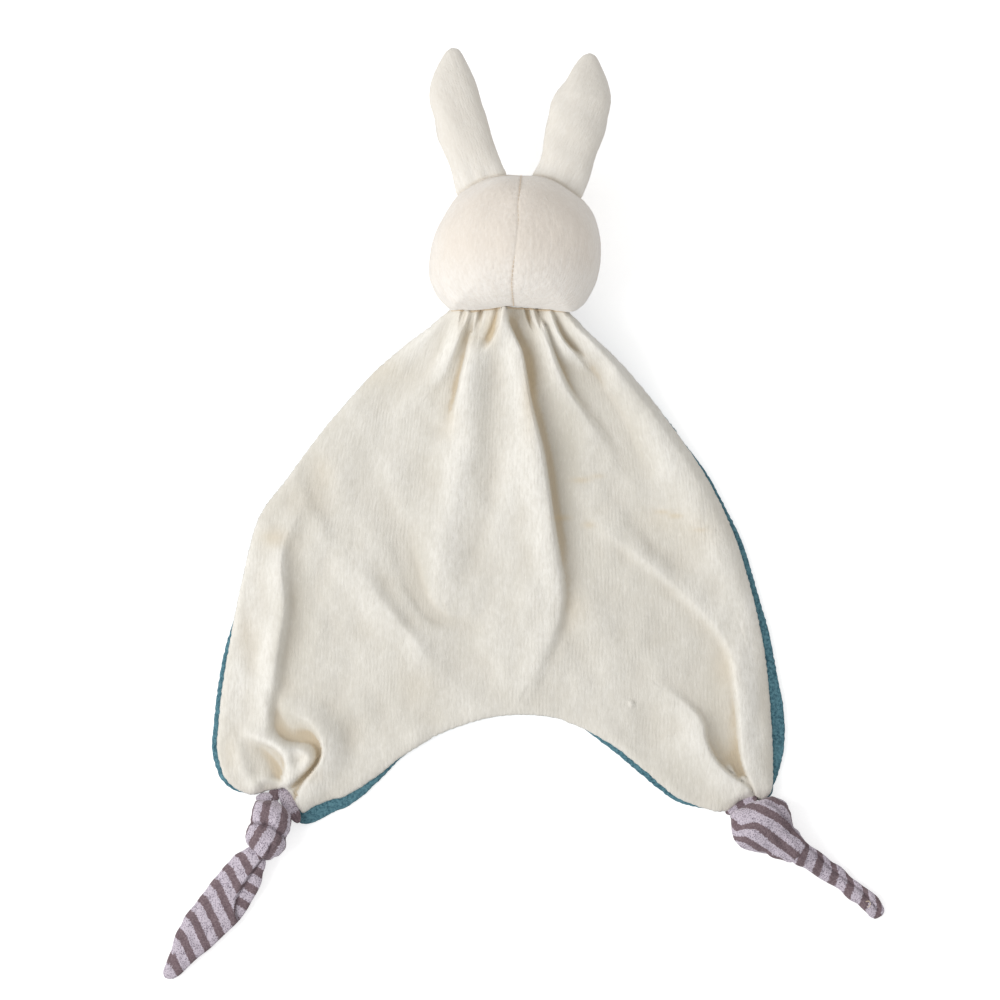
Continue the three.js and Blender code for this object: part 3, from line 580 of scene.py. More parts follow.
def striped_jersey():
    """Stripes of lilac and mauve-brown, uneven at their edges. The lilac shows dark specks."""
    s = Shader("striped_jersey")
    places = s.places()
    across, along, _ = s.lay()
    edge = s.math("SUBTRACT", s.noise(STRIPE_EDGE, 2, 0.6, places), 0.5)
    moved = s.plus(across, s.times(edge, STRIPE_RAGGED))
    phase = s.math("FRACT", s.plus(s.times(moved, 1 / STRIPE), 50.0))
    dark = s.span(s.math("ABSOLUTE", s.math("SUBTRACT", phase, 0.5)), 0.245, 0.205)
    knit = s.node("ShaderNodeTexVoronoi", Vector=places, Scale=KNIT_SPECKS, Randomness=0.7)
    patches = s.span(s.noise(SPECK_PATCHES, 2, 0.6, places), 0.4, 0.6)
    often = s.plus(s.times(patches, 0.45), 0.55)
    specks = s.times(s.span(knit.outputs["Distance"], 0.52, 0.28), often)
    light = s.layered(LILAC, [(specks, 0.85, LILAC_SPECK)])
    brown = s.mix(s.span(s.noise(MAUVE_GRAIN, 2, 0.6, places), 0.4, 0.7), MAUVE_DARK, MAUVE_LIGHT)
    tone = s.mix(dark, light, brown)
    # Painted shade in the creases of the knots and tails
    tone = s.layered(tone, [(s.amount("hollow"), 0.75, CREASE_SHADE)])
    rows = s.math("SINE", s.times(along, 2 * math.pi / KNIT_ROW))
    normal = s.bump(rows, KNIT_ROW_BUMP, 0.5)
    normal = s.bump(s.noise(KNIT_GRAIN, 3, 0.6, places), KNIT_BUMP, 0.7, normal)
    normal = s.bump(specks, SPECK_BUMP, -0.5, normal)
    return s.finish(tone, normal, 0.92, 0.15, 0.4, 0.12)


def spun(name, colors, roughness):
    """Spun thread, a little uneven in colour."""
    s = Shader(name)
    color, shade = (linear(*c) for c in colors)
    fibre = s.noise(SPUN_FIBRE, 3, 0.6, s.places())
    tone = s.layered(color, [(fibre, 0.4, shade)])
    return s.finish(tone, s.bump(fibre, SPUN_BUMP, 1.0), roughness, 0.1, 0.4, 0.3)


cream_velour = velour("cream_velour", CREAM_VELOUR, *CREAM_WALES)
head_velour = velour("head_velour", HEAD_VELOUR, *HEAD_WALES)
ear_velour = velour("ear_velour", EAR_VELOUR, *EAR_WALES)
teal = teal_jersey()
stripes = striped_jersey()
thread = spun("thread", THREAD, 0.7)
seam_thread = spun("seam_thread", SEAM_THREAD, 0.8)
face_thread = spun("face_thread", FACE_THREAD, 0.7)

# The cloth's outline, as pixels of the photograph: the cream edges from the head down, and the
# hem from left to right
CREAM_LEFT_PX = [
    (449, 311), (438, 320), (427, 329), (402.5, 347), (373.5, 371.5), (350.5, 396.5), (325, 426),
    (305, 452), (284, 481), (267.5, 501), (256.6, 520), (249.4, 542), (240.4, 582), (234, 612),
    (229, 640), (220.6, 690), (216.6, 730), (215.6, 752), (221.5, 776),
]
CREAM_RIGHT_PX = [
    (569, 313), (577, 320.5), (588, 332), (621.5, 363), (654.5, 401.5), (683, 440), (704.6, 472),
    (725.6, 512), (739, 545), (752, 588), (760.8, 625), (767.4, 662), (771.4, 700), (774, 740),
    (774.6, 765), (774.4, 784), (772.4, 793),
]
HEM_PX = [
    (221.5, 776), (227.5, 784), (237, 791.5), (248, 796), (256, 795.5), (266, 792.4), (276, 790.6),
    (284, 790), (289, 795), (294, 804), (298, 811), (303, 814.5), (312, 809), (320, 805.6),
    (332, 801), (342, 799), (352, 793.6), (360, 789), (370, 782), (380, 775), (392, 765), (403, 757),
    (416, 749), (432, 739), (446, 732.5), (461, 727), (475, 722.5), (489, 719), (504, 717),
    (520, 716), (540, 717), (555, 719), (572, 725), (589, 732.4), (604, 741), (620, 751), (632, 761),
    (650, 776), (660, 785), (672, 795), (680, 800), (694, 806), (710, 811.5), (720, 813.2),
    (730, 811.6), (740, 804), (750, 800), (758, 801.5), (764, 802), (769, 798), (772.4, 793),
]
# How far the teal side shows past the cream, in millimetres, at pixel rows of the sides and
# columns of the hem
TEAL_LEFT = [
    (612, 0), (632, 0.7), (644, 1.4), (664, 1.8), (704, 1.9), (750, 2.1), (762, 2.1), (776, 1.8),
]
TEAL_RIGHT = [
    (430, 0), (461, 0.8), (480, 1.1), (508, 1.1), (535, 1.9), (554, 2.2), (588, 2.2), (610, 2.5),
    (630, 3.2), (656, 3.4), (680, 4.0), (698, 4.9), (716, 5.4), (736, 5.2), (752, 4.5), (768, 3.0),
    (782, 1.2), (790, 0),
]
TEAL_HEM = [
    (221.5, 1.8), (230, 1.3), (240, 0.6), (248, 0), (290, 0), (298, 3.2), (303, 4.8), (312, 6.0),
    (320, 5.4), (332, 5.0), (344, 4.1), (356, 3.6), (366, 2.7), (376, 1.9), (388, 1.1), (402, 0.4),
    (416, 0), (580, 0), (604, 1.3), (616, 1.9), (640, 2.1), (652, 2.2), (663, 1.8), (674, 1.6),
    (689, 1.2), (701, 0.5), (712, 0),
]

# Folds of the cream side: the path of a crest or, where the height is below zero, of a hollow, in
# pixels; its height at points along the path; and how far it reaches to the left and to the right
# of a path that runs down the photograph. Heights and reaches are in millimetres. A short reach
# falls off as a step.
FOLDS_PX = {
    "centre_swell": (
        [(508, 320), (514, 380), (523, 450), (530, 520), (533, 590), (527, 650), (515, 700)],
        [0.8, 2.4, 3.2, 3.2, 2.8, 1.8, 0.4], [16, 18, 18], [14, 14, 12],
    ),
    "centre_lip": (
        [(504, 306), (506, 322), (512, 336), (519, 352), (524, 374), (529, 404), (536, 434),
         (542, 462), (546, 486), (549, 508), (552, 530), (556, 554), (559, 578), (560, 600),
         (557, 622), (549, 642), (540, 660), (530, 680)],
        [2.4, 3.4, 4.2, 4.6, 4.8, 4.8, 4.6, 4.2, 3.6, 3.0, 2.2, 1.2], [5, 8, 9, 9, 9, 8],
        [1.0, 1.1, 1.2, 1.4, 1.6, 2.2, 4.5],
    ),
    "centre_valley": (
        [(511, 322), (518, 338), (525, 352), (529, 374), (534, 400), (542, 428), (549, 456),
         (553, 484), (557, 512), (561, 540), (564, 566)],
        [-0.4, -0.9, -1.1, -1.2, -1.5, -2.4, -3.2, -3.3, -2.9, -2.0, -0.6], [1.0, 1.1, 1.2, 1.4, 2],
        [2, 4, 7, 8, 8],
    ),
    "right_of_centre": (
        [(534, 308), (538, 320), (543, 330), (547, 342), (552, 356), (557, 368), (563, 381),
         (571, 396), (582, 412), (588, 423), (600, 438), (612, 454)],
        [1.2, 2.2, 2.8, 3.2, 3.2, 3.0, 2.4, 1.6, 0.6], [3, 4, 5, 6, 8], [1.1, 1.2, 1.3, 1.6, 2.6, 5],
    ),
    "second_valley": (
        [(545, 330), (552, 346), (558, 362), (566, 378), (576, 394), (590, 412)],
        [-0.3, -0.9, -1.3, -1.4, -1.2, -0.4], [1.0, 1.2, 2], [2.5, 5, 7],
    ),
    "third_valley": (
        [(558, 322), (566, 338), (578, 352), (592, 368), (606, 384)],
        [-0.4, -1.0, -1.3, -1.2, -0.4], [1.0, 1.4, 2], [2.5, 4, 5],
    ),
    "third_from_right": (
        [(548, 308), (551, 319), (555, 330), (560, 340), (567, 349), (575, 356), (584, 365),
         (593, 376)],
        [1.0, 2.0, 2.6, 2.8, 2.4, 1.6, 0.5], [2, 3, 4, 5], [1.1, 1.2, 1.4, 3],
    ),
    "right_shoulder": (
        [(562, 312), (573, 325), (592, 343), (614, 368), (634, 395), (654, 425), (671, 452),
         (687, 480), (701, 508), (715, 538), (728, 574), (738, 610)],
        [2.0, 3.6, 5.0, 5.4, 5.2, 4.8, 4.4, 4.0, 3.6, 3.0, 2.0], [3, 6, 8, 9, 9, 8], [8, 9, 10],
    ),
    "right_shoulder_hollow": (
        [(582, 362), (594, 380), (606, 400), (617, 422), (628, 446), (640, 468), (652, 490)],
        [-0.8, -2.2, -2.8, -2.8, -2.4, -1.8, -0.6], [5, 6, 7], [4, 5, 6],
    ),
    "terrace": (
        [(594, 516), (606, 528), (622, 541), (640, 555), (660, 571), (680, 589), (700, 608),
         (715, 624), (727, 642), (734, 660), (738, 684), (741, 712), (743, 740), (745, 760),
         (749, 773), (755, 785), (759, 797)],
        [0.3, 1.4, 2.0, 2.3, 2.6, 2.8, 3.2, 3.8, 4.6, 5.2, 5.4, 5.0, 3.6, 2.0],
        [3.4, 3.0, 2.7, 2.5, 2.0, 1.5, 1.2, 1.1], [6, 8, 9, 9, 9],
    ),
    "upper_diagonal_hollow": (
        [(606, 480), (626, 500), (646, 522), (662, 546), (676, 564), (686, 580)],
        [-0.6, -1.6, -2.0, -2.0, -1.6, -0.4], [4, 5, 5], [5, 6, 6],
    ),
    "right_field_hollow": (
        [(562, 488), (568, 520), (575, 552), (580, 584)], [-0.6, -1.8, -1.6, -0.5], [4], [7],
    ),
    "right_field_slope": ([(700, 640), (712, 680), (716, 704)], [-0.6, -1.6, -0.8], [9], [6]),
    "right_field_ridge": (
        [(578, 596), (600, 632), (612, 670), (604, 712)], [0.6, 1.5, 1.4, 0.5], [8], [8],
    ),
    "right_field_ridge_2": ([(632, 620), (654, 660), (668, 684)], [0.5, 1.2, 0.6], [6], [6]),
    "right_field_dip": ([(640, 690), (648, 712), (654, 732)], [-0.4, -1.2, -0.5], [6], [6]),
    "right_hem_lobe": (
        [(664, 690), (676, 698), (688, 708), (697, 717), (702, 726), (704, 738), (708, 750),
         (714, 761), (723, 771), (734, 780), (745, 788), (752, 797)],
        [0.4, 1.8, 3.0, 3.8, 4.4, 4.6, 4.6, 4.2, 3.4, 2.2], [7, 10, 11, 10, 8, 6],
        [2.6, 1.8, 1.3, 1.2, 1.2],
    ),
    "right_pocket": (
        [(716, 706), (720, 724), (724, 742), (730, 758)], [-0.8, -2.0, -2.2, -1.6], [3], [5],
    ),
    "right_pit": ([(734, 756), (738, 766), (741, 774)], [-1.0, -2.6, -2.2], [1.8], [1.6]),
    "right_pocket_fold": (
        [(730, 768), (738, 775), (746, 781), (752, 790)], [0.6, 1.8, 1.8, 0.8], [1.1], [1.1],
    ),
    "left_lip": (
        [(472, 336), (470, 348), (467, 362), (463, 378), (460, 394), (457, 408), (455, 420),
         (453, 434)],
        [0.8, 2.2, 3.0, 3.2, 3.0, 2.4, 1.6, 0.5], [1.2, 1.3, 1.4, 1.8, 3], [7, 8, 8],
    ),
    "left_lip_crevice": (
        [(470, 338), (466, 354), (462, 370), (458, 386), (454, 402), (451, 418), (450, 432)],
        [-0.5, -1.0, -1.4, -1.6, -1.4, -1.0, -0.3], [3.0], [1.0],
    ),
    "left_of_centre": (
        [(476, 360), (472, 395), (468, 425), (464, 455), (458, 485), (450, 515), (442, 545),
         (439, 570), (442, 590)],
        [2.2, 3.6, 4.2, 4.2, 4.0, 3.8, 3.7, 3.2, 2.2], [7, 9, 11, 12, 11, 9, 7, 6], [8, 9, 10, 10, 9],
    ),
    "left_of_centre_side": (
        [(500, 420), (496, 470), (488, 520), (478, 560)], [-0.2, -0.7, -0.9, -0.4], [5], [6],
    ),
    "left_pleat": (
        [(467, 314), (461, 330), (453, 350), (444, 370), (432, 388)], [1.2, 2.4, 2.6, 1.8, 0.5],
        [3, 4, 5],
        [1.4, 1.8, 3],
    ),
    "left_shoulder_hollow": (
        [(452, 322), (436, 346), (416, 372), (398, 392), (380, 408)], [-0.5, -1.4, -1.8, -1.8, -0.6],
        [4], [4],
    ),
    "left_shoulder_pile": ([(420, 414), (440, 430), (452, 444)], [-0.5, -1.2, -0.5], [5], [3]),
    "left_field_ridge": (
        [(326, 520), (346, 556), (368, 588), (390, 614), (410, 638), (426, 664), (438, 694)],
        [0.6, 1.8, 2.8, 3.2, 3.0, 2.4, 0.8], [9], [8, 7, 4.4, 3.4, 5, 8],
    ),
    "diagonal_hollow": (
        [(372, 480), (387, 506), (400, 536), (410, 562), (417, 586), (427, 606), (442, 619),
         (464, 627), (486, 632)],
        [-0.4, -1.2, -1.8, -2.4, -3.0, -3.0, -2.2, -1.2, -0.3], [6, 5, 4.5, 3.6, 3.2, 3.4],
        [4, 3.6, 3, 2.6, 2.6, 3],
    ),
    "below_bulge": ([(462, 640), (474, 664), (482, 690)], [-0.5, -1.4, -0.6], [7], [7]),
    "left_upper_hollow": (
        [(308, 462), (316, 490), (328, 514), (340, 540)], [-0.6, -1.8, -1.6, -0.5], [4], [6],
    ),
    "left_edge_ridge": (
        [(302, 494), (290, 524), (281, 548), (280, 570), (282, 590), (283, 610), (279, 636),
         (275, 660), (272, 684), (268, 706), (262, 728)],
        [0.6, 1.6, 2.8, 4.0, 4.6, 4.8, 4.8, 4.6, 4.0, 3.0, 1.8], [7, 7, 6, 6, 6, 5],
        [4, 3, 2.4, 2.2, 2.2, 2.6, 4],
    ),
    "left_edge_dent": ([(247, 618), (250, 642), (250, 668)], [-0.6, -1.4, -0.6], [3], [3.5]),
    "left_field_dark": ([(336, 722), (352, 736), (372, 746)], [-0.6, -1.7, -0.8], [8], [7]),
    "left_field_dark_2": ([(412, 702), (424, 716), (434, 728)], [-0.5, -1.3, -0.5], [5], [5]),
    "curl": (
        [(272, 714), (282, 712), (296, 715), (309, 721), (318, 731), (323.5, 744), (323, 758),
         (316, 771), (307, 782), (299, 794)],
        [0.5, 1.6, 3.0, 4.2, 5.2, 5.8, 5.8, 5.4, 4.8, 3.4], [4, 3.4, 2.4, 1.4, 1.1, 1.1],
        [5, 7, 9, 10],
    ),
    "curl_shade": (
        [(273, 696), (275.5, 712), (279, 725), (286, 735), (296, 738.5), (307, 738)],
        [-1.0, -2.4, -3.2, -3.4, -3.0, -1.8], [2.6], [2.4],
    ),
    "curl_crease": (
        [(298, 739), (307, 739), (315, 743), (319.5, 752), (317, 763), (309, 773), (299, 782),
         (290, 789)],
        [-0.8, -1.8, -2.4, -3.0, -3.2, -3.2, -2.6, -1.4], [2.2, 1.6, 1.2, 1.1], [1.8, 1.0, 0.8, 0.8],
    ),
    "inner_roll": (
        [(268, 738), (283, 747), (299, 751), (308, 758), (304, 768), (295, 778), (288, 788)],
        [0.8, 2.4, 3.8, 4.2, 3.8, 2.8, 1.4], [3.2, 3.4, 3], [3, 3, 2.4],
    ),
    "inner_curl": (
        [(248, 735), (259, 739), (272, 745), (283, 754), (287, 766), (285, 778), (281, 790)],
        [1.4, 3.0, 3.6, 3.8, 3.8, 3.4, 2.2], [2.4, 1.8, 1.3, 1.2, 1.2, 1.4], [2.4, 3, 3.6, 4, 4],
    ),
    "left_pit": (
        [(260, 751), (268, 759), (275, 768), (278, 774)], [-0.6, -1.6, -2.6, -3.4], [2.6], [1.4],
    ),
    "left_pit_lobe": ([(254, 786), (263, 780), (273, 782)], [0.8, 2.2, 1.4], [2.6], [2.4]),
    "left_fan": ([(236, 744), (243, 768), (254, 790)], [0.8, 1.8, 1.4], [4], [3]),
    "neck_crease_1": ([(465, 306), (463, 318), (461, 329)], [-1.4, -1.0, -0.2], [1.2], [1.2]),
    "neck_crease_2": ([(482, 306), (480, 318), (477, 330)], [-1.8, -1.2, -0.2], [1.1], [1.1]),
    "neck_pleat": (
        [(503, 306), (500, 322), (494, 340), (486, 356)], [1.4, 2.0, 1.6, 0.4], [1.6, 2.4], [4],
    ),
    "neck_crease_3": (
        [(500, 306), (498, 320), (495, 330), (490, 340), (483, 350)], [-2.2, -2.4, -2.2, -1.4, -0.2],
        [2.0], [0.9],
    ),
    "neck_crease_4": ([(526, 306), (529, 319), (534, 331)], [-2.0, -1.6, -0.2], [0.9], [0.9]),
    "neck_crease_5": ([(535, 306), (538, 318), (542, 330)], [-1.6, -1.6, -0.2], [0.8], [0.8]),
    "pill": ([(631.6, 703.8), (632.4, 704.2)], [0.8, 0.8], [1.1], [1.1]),
}
# Soft yellowed or grey patches: pixel, reach across and down in millimetres, and strength
STAINS_PX = [
    ((243, 632), 3, 10, 0.4), ((274, 538), 6, 4, 0.8), ((322, 470), 5, 7, 0.35), ((380, 372),
     14, 6, 0.3),
    ((300, 500), 10, 8, 0.25), ((230, 752), 4, 9, 0.3), ((466, 330), 5, 9, 0.35), ((492, 330),
     3, 8, 0.7),
    ((530, 388), 3, 18, 0.9), ((662, 520), 9, 5, 0.3), ((700, 530), 9, 8, 0.3), ((577, 610),
     6, 8, 0.3),
    ((726, 668), 5, 8, 0.35), ((582, 480), 4, 1.2, 0.9), ((598, 476), 3, 1.0, 0.7), ((562, 518),
     3.5, 1.2, 1.0),
    ((589, 525), 2.6, 1.4, 0.8), ((663, 512), 3, 0.9, 0.8), ((676, 516), 2.6, 1.0, 1.0), ((701, 530),
     3, 0.9, 0.6),
    ((312, 757), 4, 5, 0.3), ((310, 776), 6, 3, 0.5), ((452, 420), 4, 6, 0.3), ((420, 690),
     10, 8, 0.2),
]

# Patches of painted highlight, with paler pile in them too, in the same terms
HIGHLIGHT_PATCHES_PX = [
    ((248, 600), 6, 34, 1.0), ((430, 345), 16, 12, 0.9), ((458, 470), 5, 26, 1.0), ((508, 470),
     7, 30, 0.7),
    ((500, 360), 9, 14, 0.7), ((590, 345), 12, 10, 0.6), ((754, 620), 4, 36, 0.8), ((470, 318),
     14, 4, 0.6),
    ((236, 690), 4, 16, 0.7), ((310, 560), 8, 14, 0.3), ((668, 470), 8, 18, 0.5), ((390, 440),
     12, 14, 0.4),
]

# Patches of painted shade, with duller pile in them too, in the same terms
SHADE_PATCHES_PX = [
    ((650, 640), 22, 26, 0.3), ((610, 560), 12, 16, 0.3), ((716, 700), 6, 18, 0.7), ((560, 500),
     5, 22, 0.7),
    ((640, 470), 8, 18, 0.4), ((380, 372), 16, 8, 0.5), ((300, 640), 8, 26, 0.5), ((350, 720),
     20, 10, 0.5),
    ((400, 590), 10, 16, 0.5), ((278, 640), 4, 22, 0.6), ((680, 772), 12, 8, 0.5), ((420, 560),
     5, 12, 0.6),
    ((300, 600), 6, 18, 0.4), ((430, 622), 10, 3, 0.5), ((312, 735), 6, 8, 0.4), ((572, 470),
     6, 26, 0.6),
    ((310, 520), 8, 12, 0.4), ((424, 690), 10, 12, 0.5), ((480, 640), 8, 10, 0.3),
    ((562, 455), 6, 14, 0.8), ((286, 716), 5, 5, 0.8),
]


def cloth_grid():
    """Places of the cloth's points, seen from above, blended from its four edges."""
    v = np.linspace(0, 1, CLOTH_ROWS)
    u = np.linspace(0, 1, CLOTH_COLUMNS)
    left, right = even(spots(CREAM_LEFT_PX), CLOTH_ROWS), even(spots(CREAM_RIGHT_PX), CLOTH_ROWS)
    hem = even(spots(HEM_PX), CLOTH_COLUMNS)
    top = left[0] + (right[0] - left[0]) * u[:, None]
    top[:, 1] += CHIN_OVERLAP * np.sin(math.pi * u) ** 0.5
    U, V = u[None, :, None], v[:, None, None]
    sides = left[:, None] * (1 - U) + right[:, None] * U
    ends = top[None] * (1 - V) + hem[None] * V
    corners = (left[0] * (1 - U) + right[0] * U) * (1 - V) + (left[-1] * (1 - U) + right[-1] * U) * V
    place = sides + ends - corners
    moved = [uneven(place[..., 0], place[..., 1], *waves) for waves in EDGE_NAP]
    return place + np.stack(moved, axis=-1), u


def along_path(x, y, path):
    """For each place: its distance to a path, the share of the path it is nearest to, and its side."""
    best = np.full(x.shape, np.inf)
    share = np.zeros_like(x)
    side = np.zeros_like(x)
    for i in range(len(path) - 1):
        step = path[i + 1] - path[i]
        dx, dy = x - path[i][0], y - path[i][1]
        f = np.clip((dx * step[0] + dy * step[1]) / (step @ step), 0, 1)
        distance = np.hypot(dx - f * step[0], dy - f * step[1])
        nearer = distance < best
        best = np.where(nearer, distance, best)
        share = np.where(nearer, (i + f) / (len(path) - 1), share)
        side = np.where(nearer, step[0] * dy - step[1] * dx, side)
    return best, share, side


def fine_path(path_px):
    return smooth_curve(spots(path_px), FOLD_STEPS * len(path_px))


def past_path(x, y, path_px):
    """How far places are past a path, in millimetres: more than zero on its left as it runs down."""
    distance, _, side = along_path(x, y, fine_path(path_px))
    return np.where(side < 0, distance, -distance) / MM


def fold_height(x, y):
    """Sum of the folds at places x, y, in metres."""
    total = np.zeros_like(x)
    for path_px, heights, left_reach, right_reach in FOLDS_PX.values():
        path = fine_path(path_px)
        margin = FOLD_SPREAD * max(left_reach + right_reach) * MM
        low, high = path.min(axis=0) - margin, path.max(axis=0) + margin
        near = (x > low[0]) & (x < high[0]) & (y > low[1]) & (y < high[1])
        distance, share, side = along_path(x[near], y[near], path)
        # Going down the photograph, the left of the path has a negative cross product in the frame.
        reach = np.where(side < 0, spread(left_reach, share), spread(right_reach, share))
        power = 2 + 2 * smoothstep(2.4, 1.2, reach)
        total[near] += spread(heights, share) * MM * np.exp(-((distance / (reach * MM)) ** power))
    return total


def cloth_height(place):
    """Height of the cream side and of its edge, the way in from the edge, and the painted shade of its
    hollows and painted highlight of its crests.
    """
    x, y = place[..., 0], place[..., 1]
    seam = neck[1] + NECK_LENGTH
    down = np.maximum(seam - y, 0)
    sides = np.minimum(
        np.linalg.norm(place - place[:, :1], axis=-1), np.linalg.norm(place - place[:, -1:], axis=-1)
    )
    inward = np.minimum(sides, np.linalg.norm(place - place[-1:], axis=-1))
    half_width = np.linalg.norm(place[0, -1] - place[0, 0]) / 2
    aside = np.maximum(np.abs(x - neck[0]) - half_width, 0)
    near = bell(np.hypot(down, aside), NECK_REACH)
    lumps = sum(uneven(x, y, *waves) for waves in CLOTH_LUMPS)
    folds = fold_height(x, y) * (1 + NECK_FOLDS * near)
    above = CLOTH_TOP + folds + lumps - LOWEST_TOP
    height = LOWEST_TOP + (above + np.sqrt(above ** 2 + LOWEST_SOFTNESS ** 2)) / 2
    # Painted shade where the cloth lies lower than round it, painted highlight where it stands higher
    around_it = blurred(height, HOLLOW_CELLS) * (1 - near) + blurred(height, NECK_CELLS) * near
    hollow = np.clip((around_it - height) / HOLLOW_DEPTH, 0, 1)
    crest = np.clip((height - blurred(height, CREST_CELLS)) / CREST_RISE, 0, 1)
    height = height + (neck[2] + NECK_HALF_THICKNESS - CLOTH_TOP - NECK_SINK) * near
    edge = SEAM_HEIGHT + (neck[2] - SEAM_HEIGHT) * near
    roll = np.clip(inward / EDGE_ROLL, 0, 1)
    roll = np.sqrt(1 - (1 - roll) ** 2)
    return edge + (height - edge) * roll, edge, inward, hollow, crest


def patch_amount(x, y, patches_px):
    total = np.zeros_like(x)
    for pixel, across, down, strength in patches_px:
        cx, cy = spot(*pixel)
        total += strength * np.exp(-(((x - cx) / (across * MM)) ** 2) - ((y - cy) / (down * MM)) ** 2)
    return np.clip(total, 0, 1)


def cream_side(place, height, hollow, crest, u):
    """The upper cloth: one sheet from under the chin to the hem."""
    rows, columns = height.shape
    points = np.concatenate([place, height[..., None]], axis=-1).reshape(-1, 3)
    width = np.linalg.norm(place[-1, -1] - place[-1, 0])
    across = FAN * (u[None, :] - 0.5) * width + (1 - FAN) * (place[..., 0] - neck[0])
    lay = np.stack([across, np.broadcast_to(place[..., 1], across.shape), np.zeros_like(across)], axis=-1)
    piece = mesh_object("cream_cloth", points, grid_faces(rows, columns), lay.reshape(-1, 3))
    # Painted shade in hollows and dull patches, painted highlight on crests and pale patches, and real
    # stains
    add_amount(piece, "hollow", hollow)
    add_amount(piece, "crest", np.clip(crest + patch_amount(place[..., 0], place[..., 1], HIGHLIGHT_PATCHES_PX), 0, 1))
    add_amount(piece, "stain", patch_amount(place[..., 0], place[..., 1], STAINS_PX))
    add_amount(piece, "dull", patch_amount(place[..., 0], place[..., 1], SHADE_PATCHES_PX))
    thicken(piece, VELOUR)
    piece.data.materials.append(cream_velour)
    blend_at_neck(piece)
    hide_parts("blanket_back", "neck_gathers")
    return piece


def blend_at_neck(piece):
    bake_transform(piece)


def teal_rim(place, edge):
    """The cloth's border, from the left of the neck by the hem to the right, and how far teal shows."""
    def shown(points, axis, table):
        pixel = (points - np.array(spot(0, 0)))[:, axis] / METRES_PER_PX * (1 if axis == 0 else -1)
        table = np.array(table)
        return np.interp(pixel, table[:, 0], table[:, 1]) * MM
    parts = (
        (place[:, 0], edge[:, 0], 1, TEAL_LEFT),
        (place[-1, 1:-1], edge[-1, 1:-1], 0, TEAL_HEM),
        (place[::-1, -1], edge[::-1, -1], 1, TEAL_RIGHT),
    )
    rim = np.concatenate([np.column_stack([points, z]) for points, z, _, _ in parts])
    peek = np.concatenate([shown(points, axis, table) for points, _, axis, table in parts])
    return rim, soften(peek, 8)


def outward_of(rim, middle):
    """Directions that point out of a closed border, level and smooth."""
    run = np.gradient(rim[:, :2], axis=0)
    outward = np.stack([run[:, 1], -run[:, 0]], axis=1)
    if np.mean(np.sum(outward * (rim[:, :2] - middle), axis=1)) < 0:
        outward = -outward
    return unit(soften(unit(outward), 14))


def teal_side(place, height, edge, inward):
    """The lower cloth: it lies under the cream one and rolls up past its edge as a soft band."""
    rows, columns = height.shape
    under = height - VELOUR - TEAL_GAP
    down = np.maximum(neck[1] + NECK_LENGTH - place[..., 1], 0)
    at_neck = bell(down, TEAL_AT_NECK)
    drawn_in = TEAL_DRAWN_IN * bell(down, NECK_REACH)
    place = np.stack([place[..., 0] + drawn_in * (neck[0] - place[..., 0]), place[..., 1]], axis=-1)
    low = np.maximum((under - JERSEY) / 2, TEAL_LOWEST) * (1 - at_neck)
    low += at_neck * (neck[2] - NECK_HALF_THICKNESS)
    settle = smoothstep(0, TEAL_SETTLE, inward)
    low = low * settle + (1 - settle) * np.maximum(edge - TEAL_EDGE_DROP, TEAL_LOWEST)
    low = np.minimum(low, np.maximum(under - JERSEY, TEAL_LEAST))
    faces = [face[::-1] for face in grid_faces(rows, columns)]
    loop = [r * columns for r in range(rows)]
    loop += [(rows - 1) * columns + c for c in range(1, columns - 1)]
    loop += [r * columns + columns - 1 for r in reversed(range(rows))]
    rim, peek = teal_rim(place, edge)
    outward = outward_of(rim, place.mean(axis=(0, 1)))
    inset = TEAL_INSET * (1 - smoothstep(0, TEAL_INSET_UNTIL, peek))
    points = np.concatenate([place, low[..., None]], axis=-1).reshape(-1, 3)
    bottom = points[loop][:, 2]
    top = np.maximum(rim[:, 2] - ROLL_DROP, bottom + ROLL_LEAST) + ROLL_RISE * peek
    groove = GROOVE_DEPTH * smoothstep(*GROOVE_SHOWS, peek)
    extra = []
    for step in range(1, ROLL_STEPS + 1):
        angle = -math.pi / 2 + math.pi * step / ROLL_STEPS
        share = math.cos(angle)
        out = peek * share - inset * step / ROLL_STEPS - (ROLL_TUCK if step == ROLL_STEPS else 0)
        z = (top + bottom) / 2 + (top - bottom) / 2 * math.sin(angle)
        if angle > 0:
            z = z - groove * bell(share - GROOVE_PLACE, GROOVE_WIDTH)
        extra.append(np.concatenate([rim[:, :2] + outward * out[:, None], z[:, None]], axis=1))
    first = len(points)
    count = len(rim)
    points = np.concatenate([points] + extra)
    for step in range(ROLL_STEPS):
        inner = np.array(loop) if step == 0 else first + (step - 1) * count + np.arange(count)
        outer = first + step * count + np.arange(count)
        faces += np.stack([inner[:-1], outer[:-1], outer[1:], inner[1:]], axis=1).tolist()
    piece = mesh_object("teal_cloth", points, faces, points)
    face_outward(piece)
    grid = piece.data.polygons[:(rows - 1) * (columns - 1)]
    if sum(face.normal.z for face in grid) > 0:
        piece.data.flip_normals()
    thicken(piece, JERSEY)
    for point in piece.data.vertices:
        point.co.z = max(point.co.z, LOWEST)
    piece.data.materials.append(teal)
    blend_at_neck(piece)
    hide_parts("blanket_front")
    return piece


def closed_form(left, right, height, half_thickness, sides, flatness=0.85):
    """Rings of points between two edges seen from above, each with its height and half thickness."""
    angle = np.linspace(0, 2 * math.pi, sides, endpoint=False)
    rise = bent(np.sin(angle), flatness)
    middle = (left + right) / 2
    half = (right - left) / 2
    flat = middle[:, None] + half[:, None] * np.cos(angle)[None, :, None]
    z = height[:, None] + half_thickness[:, None] * rise[None]
    return np.concatenate([flat, z[..., None]], axis=-1), angle


def press_in(points, depth):
    """Moves each ring's points towards the ring's middle by a depth for each point."""
    pull = points - points.mean(axis=1, keepdims=True)
    size = np.maximum(np.linalg.norm(pull, axis=-1, keepdims=True), 1e-6)
    return points - pull / size * depth[..., None]


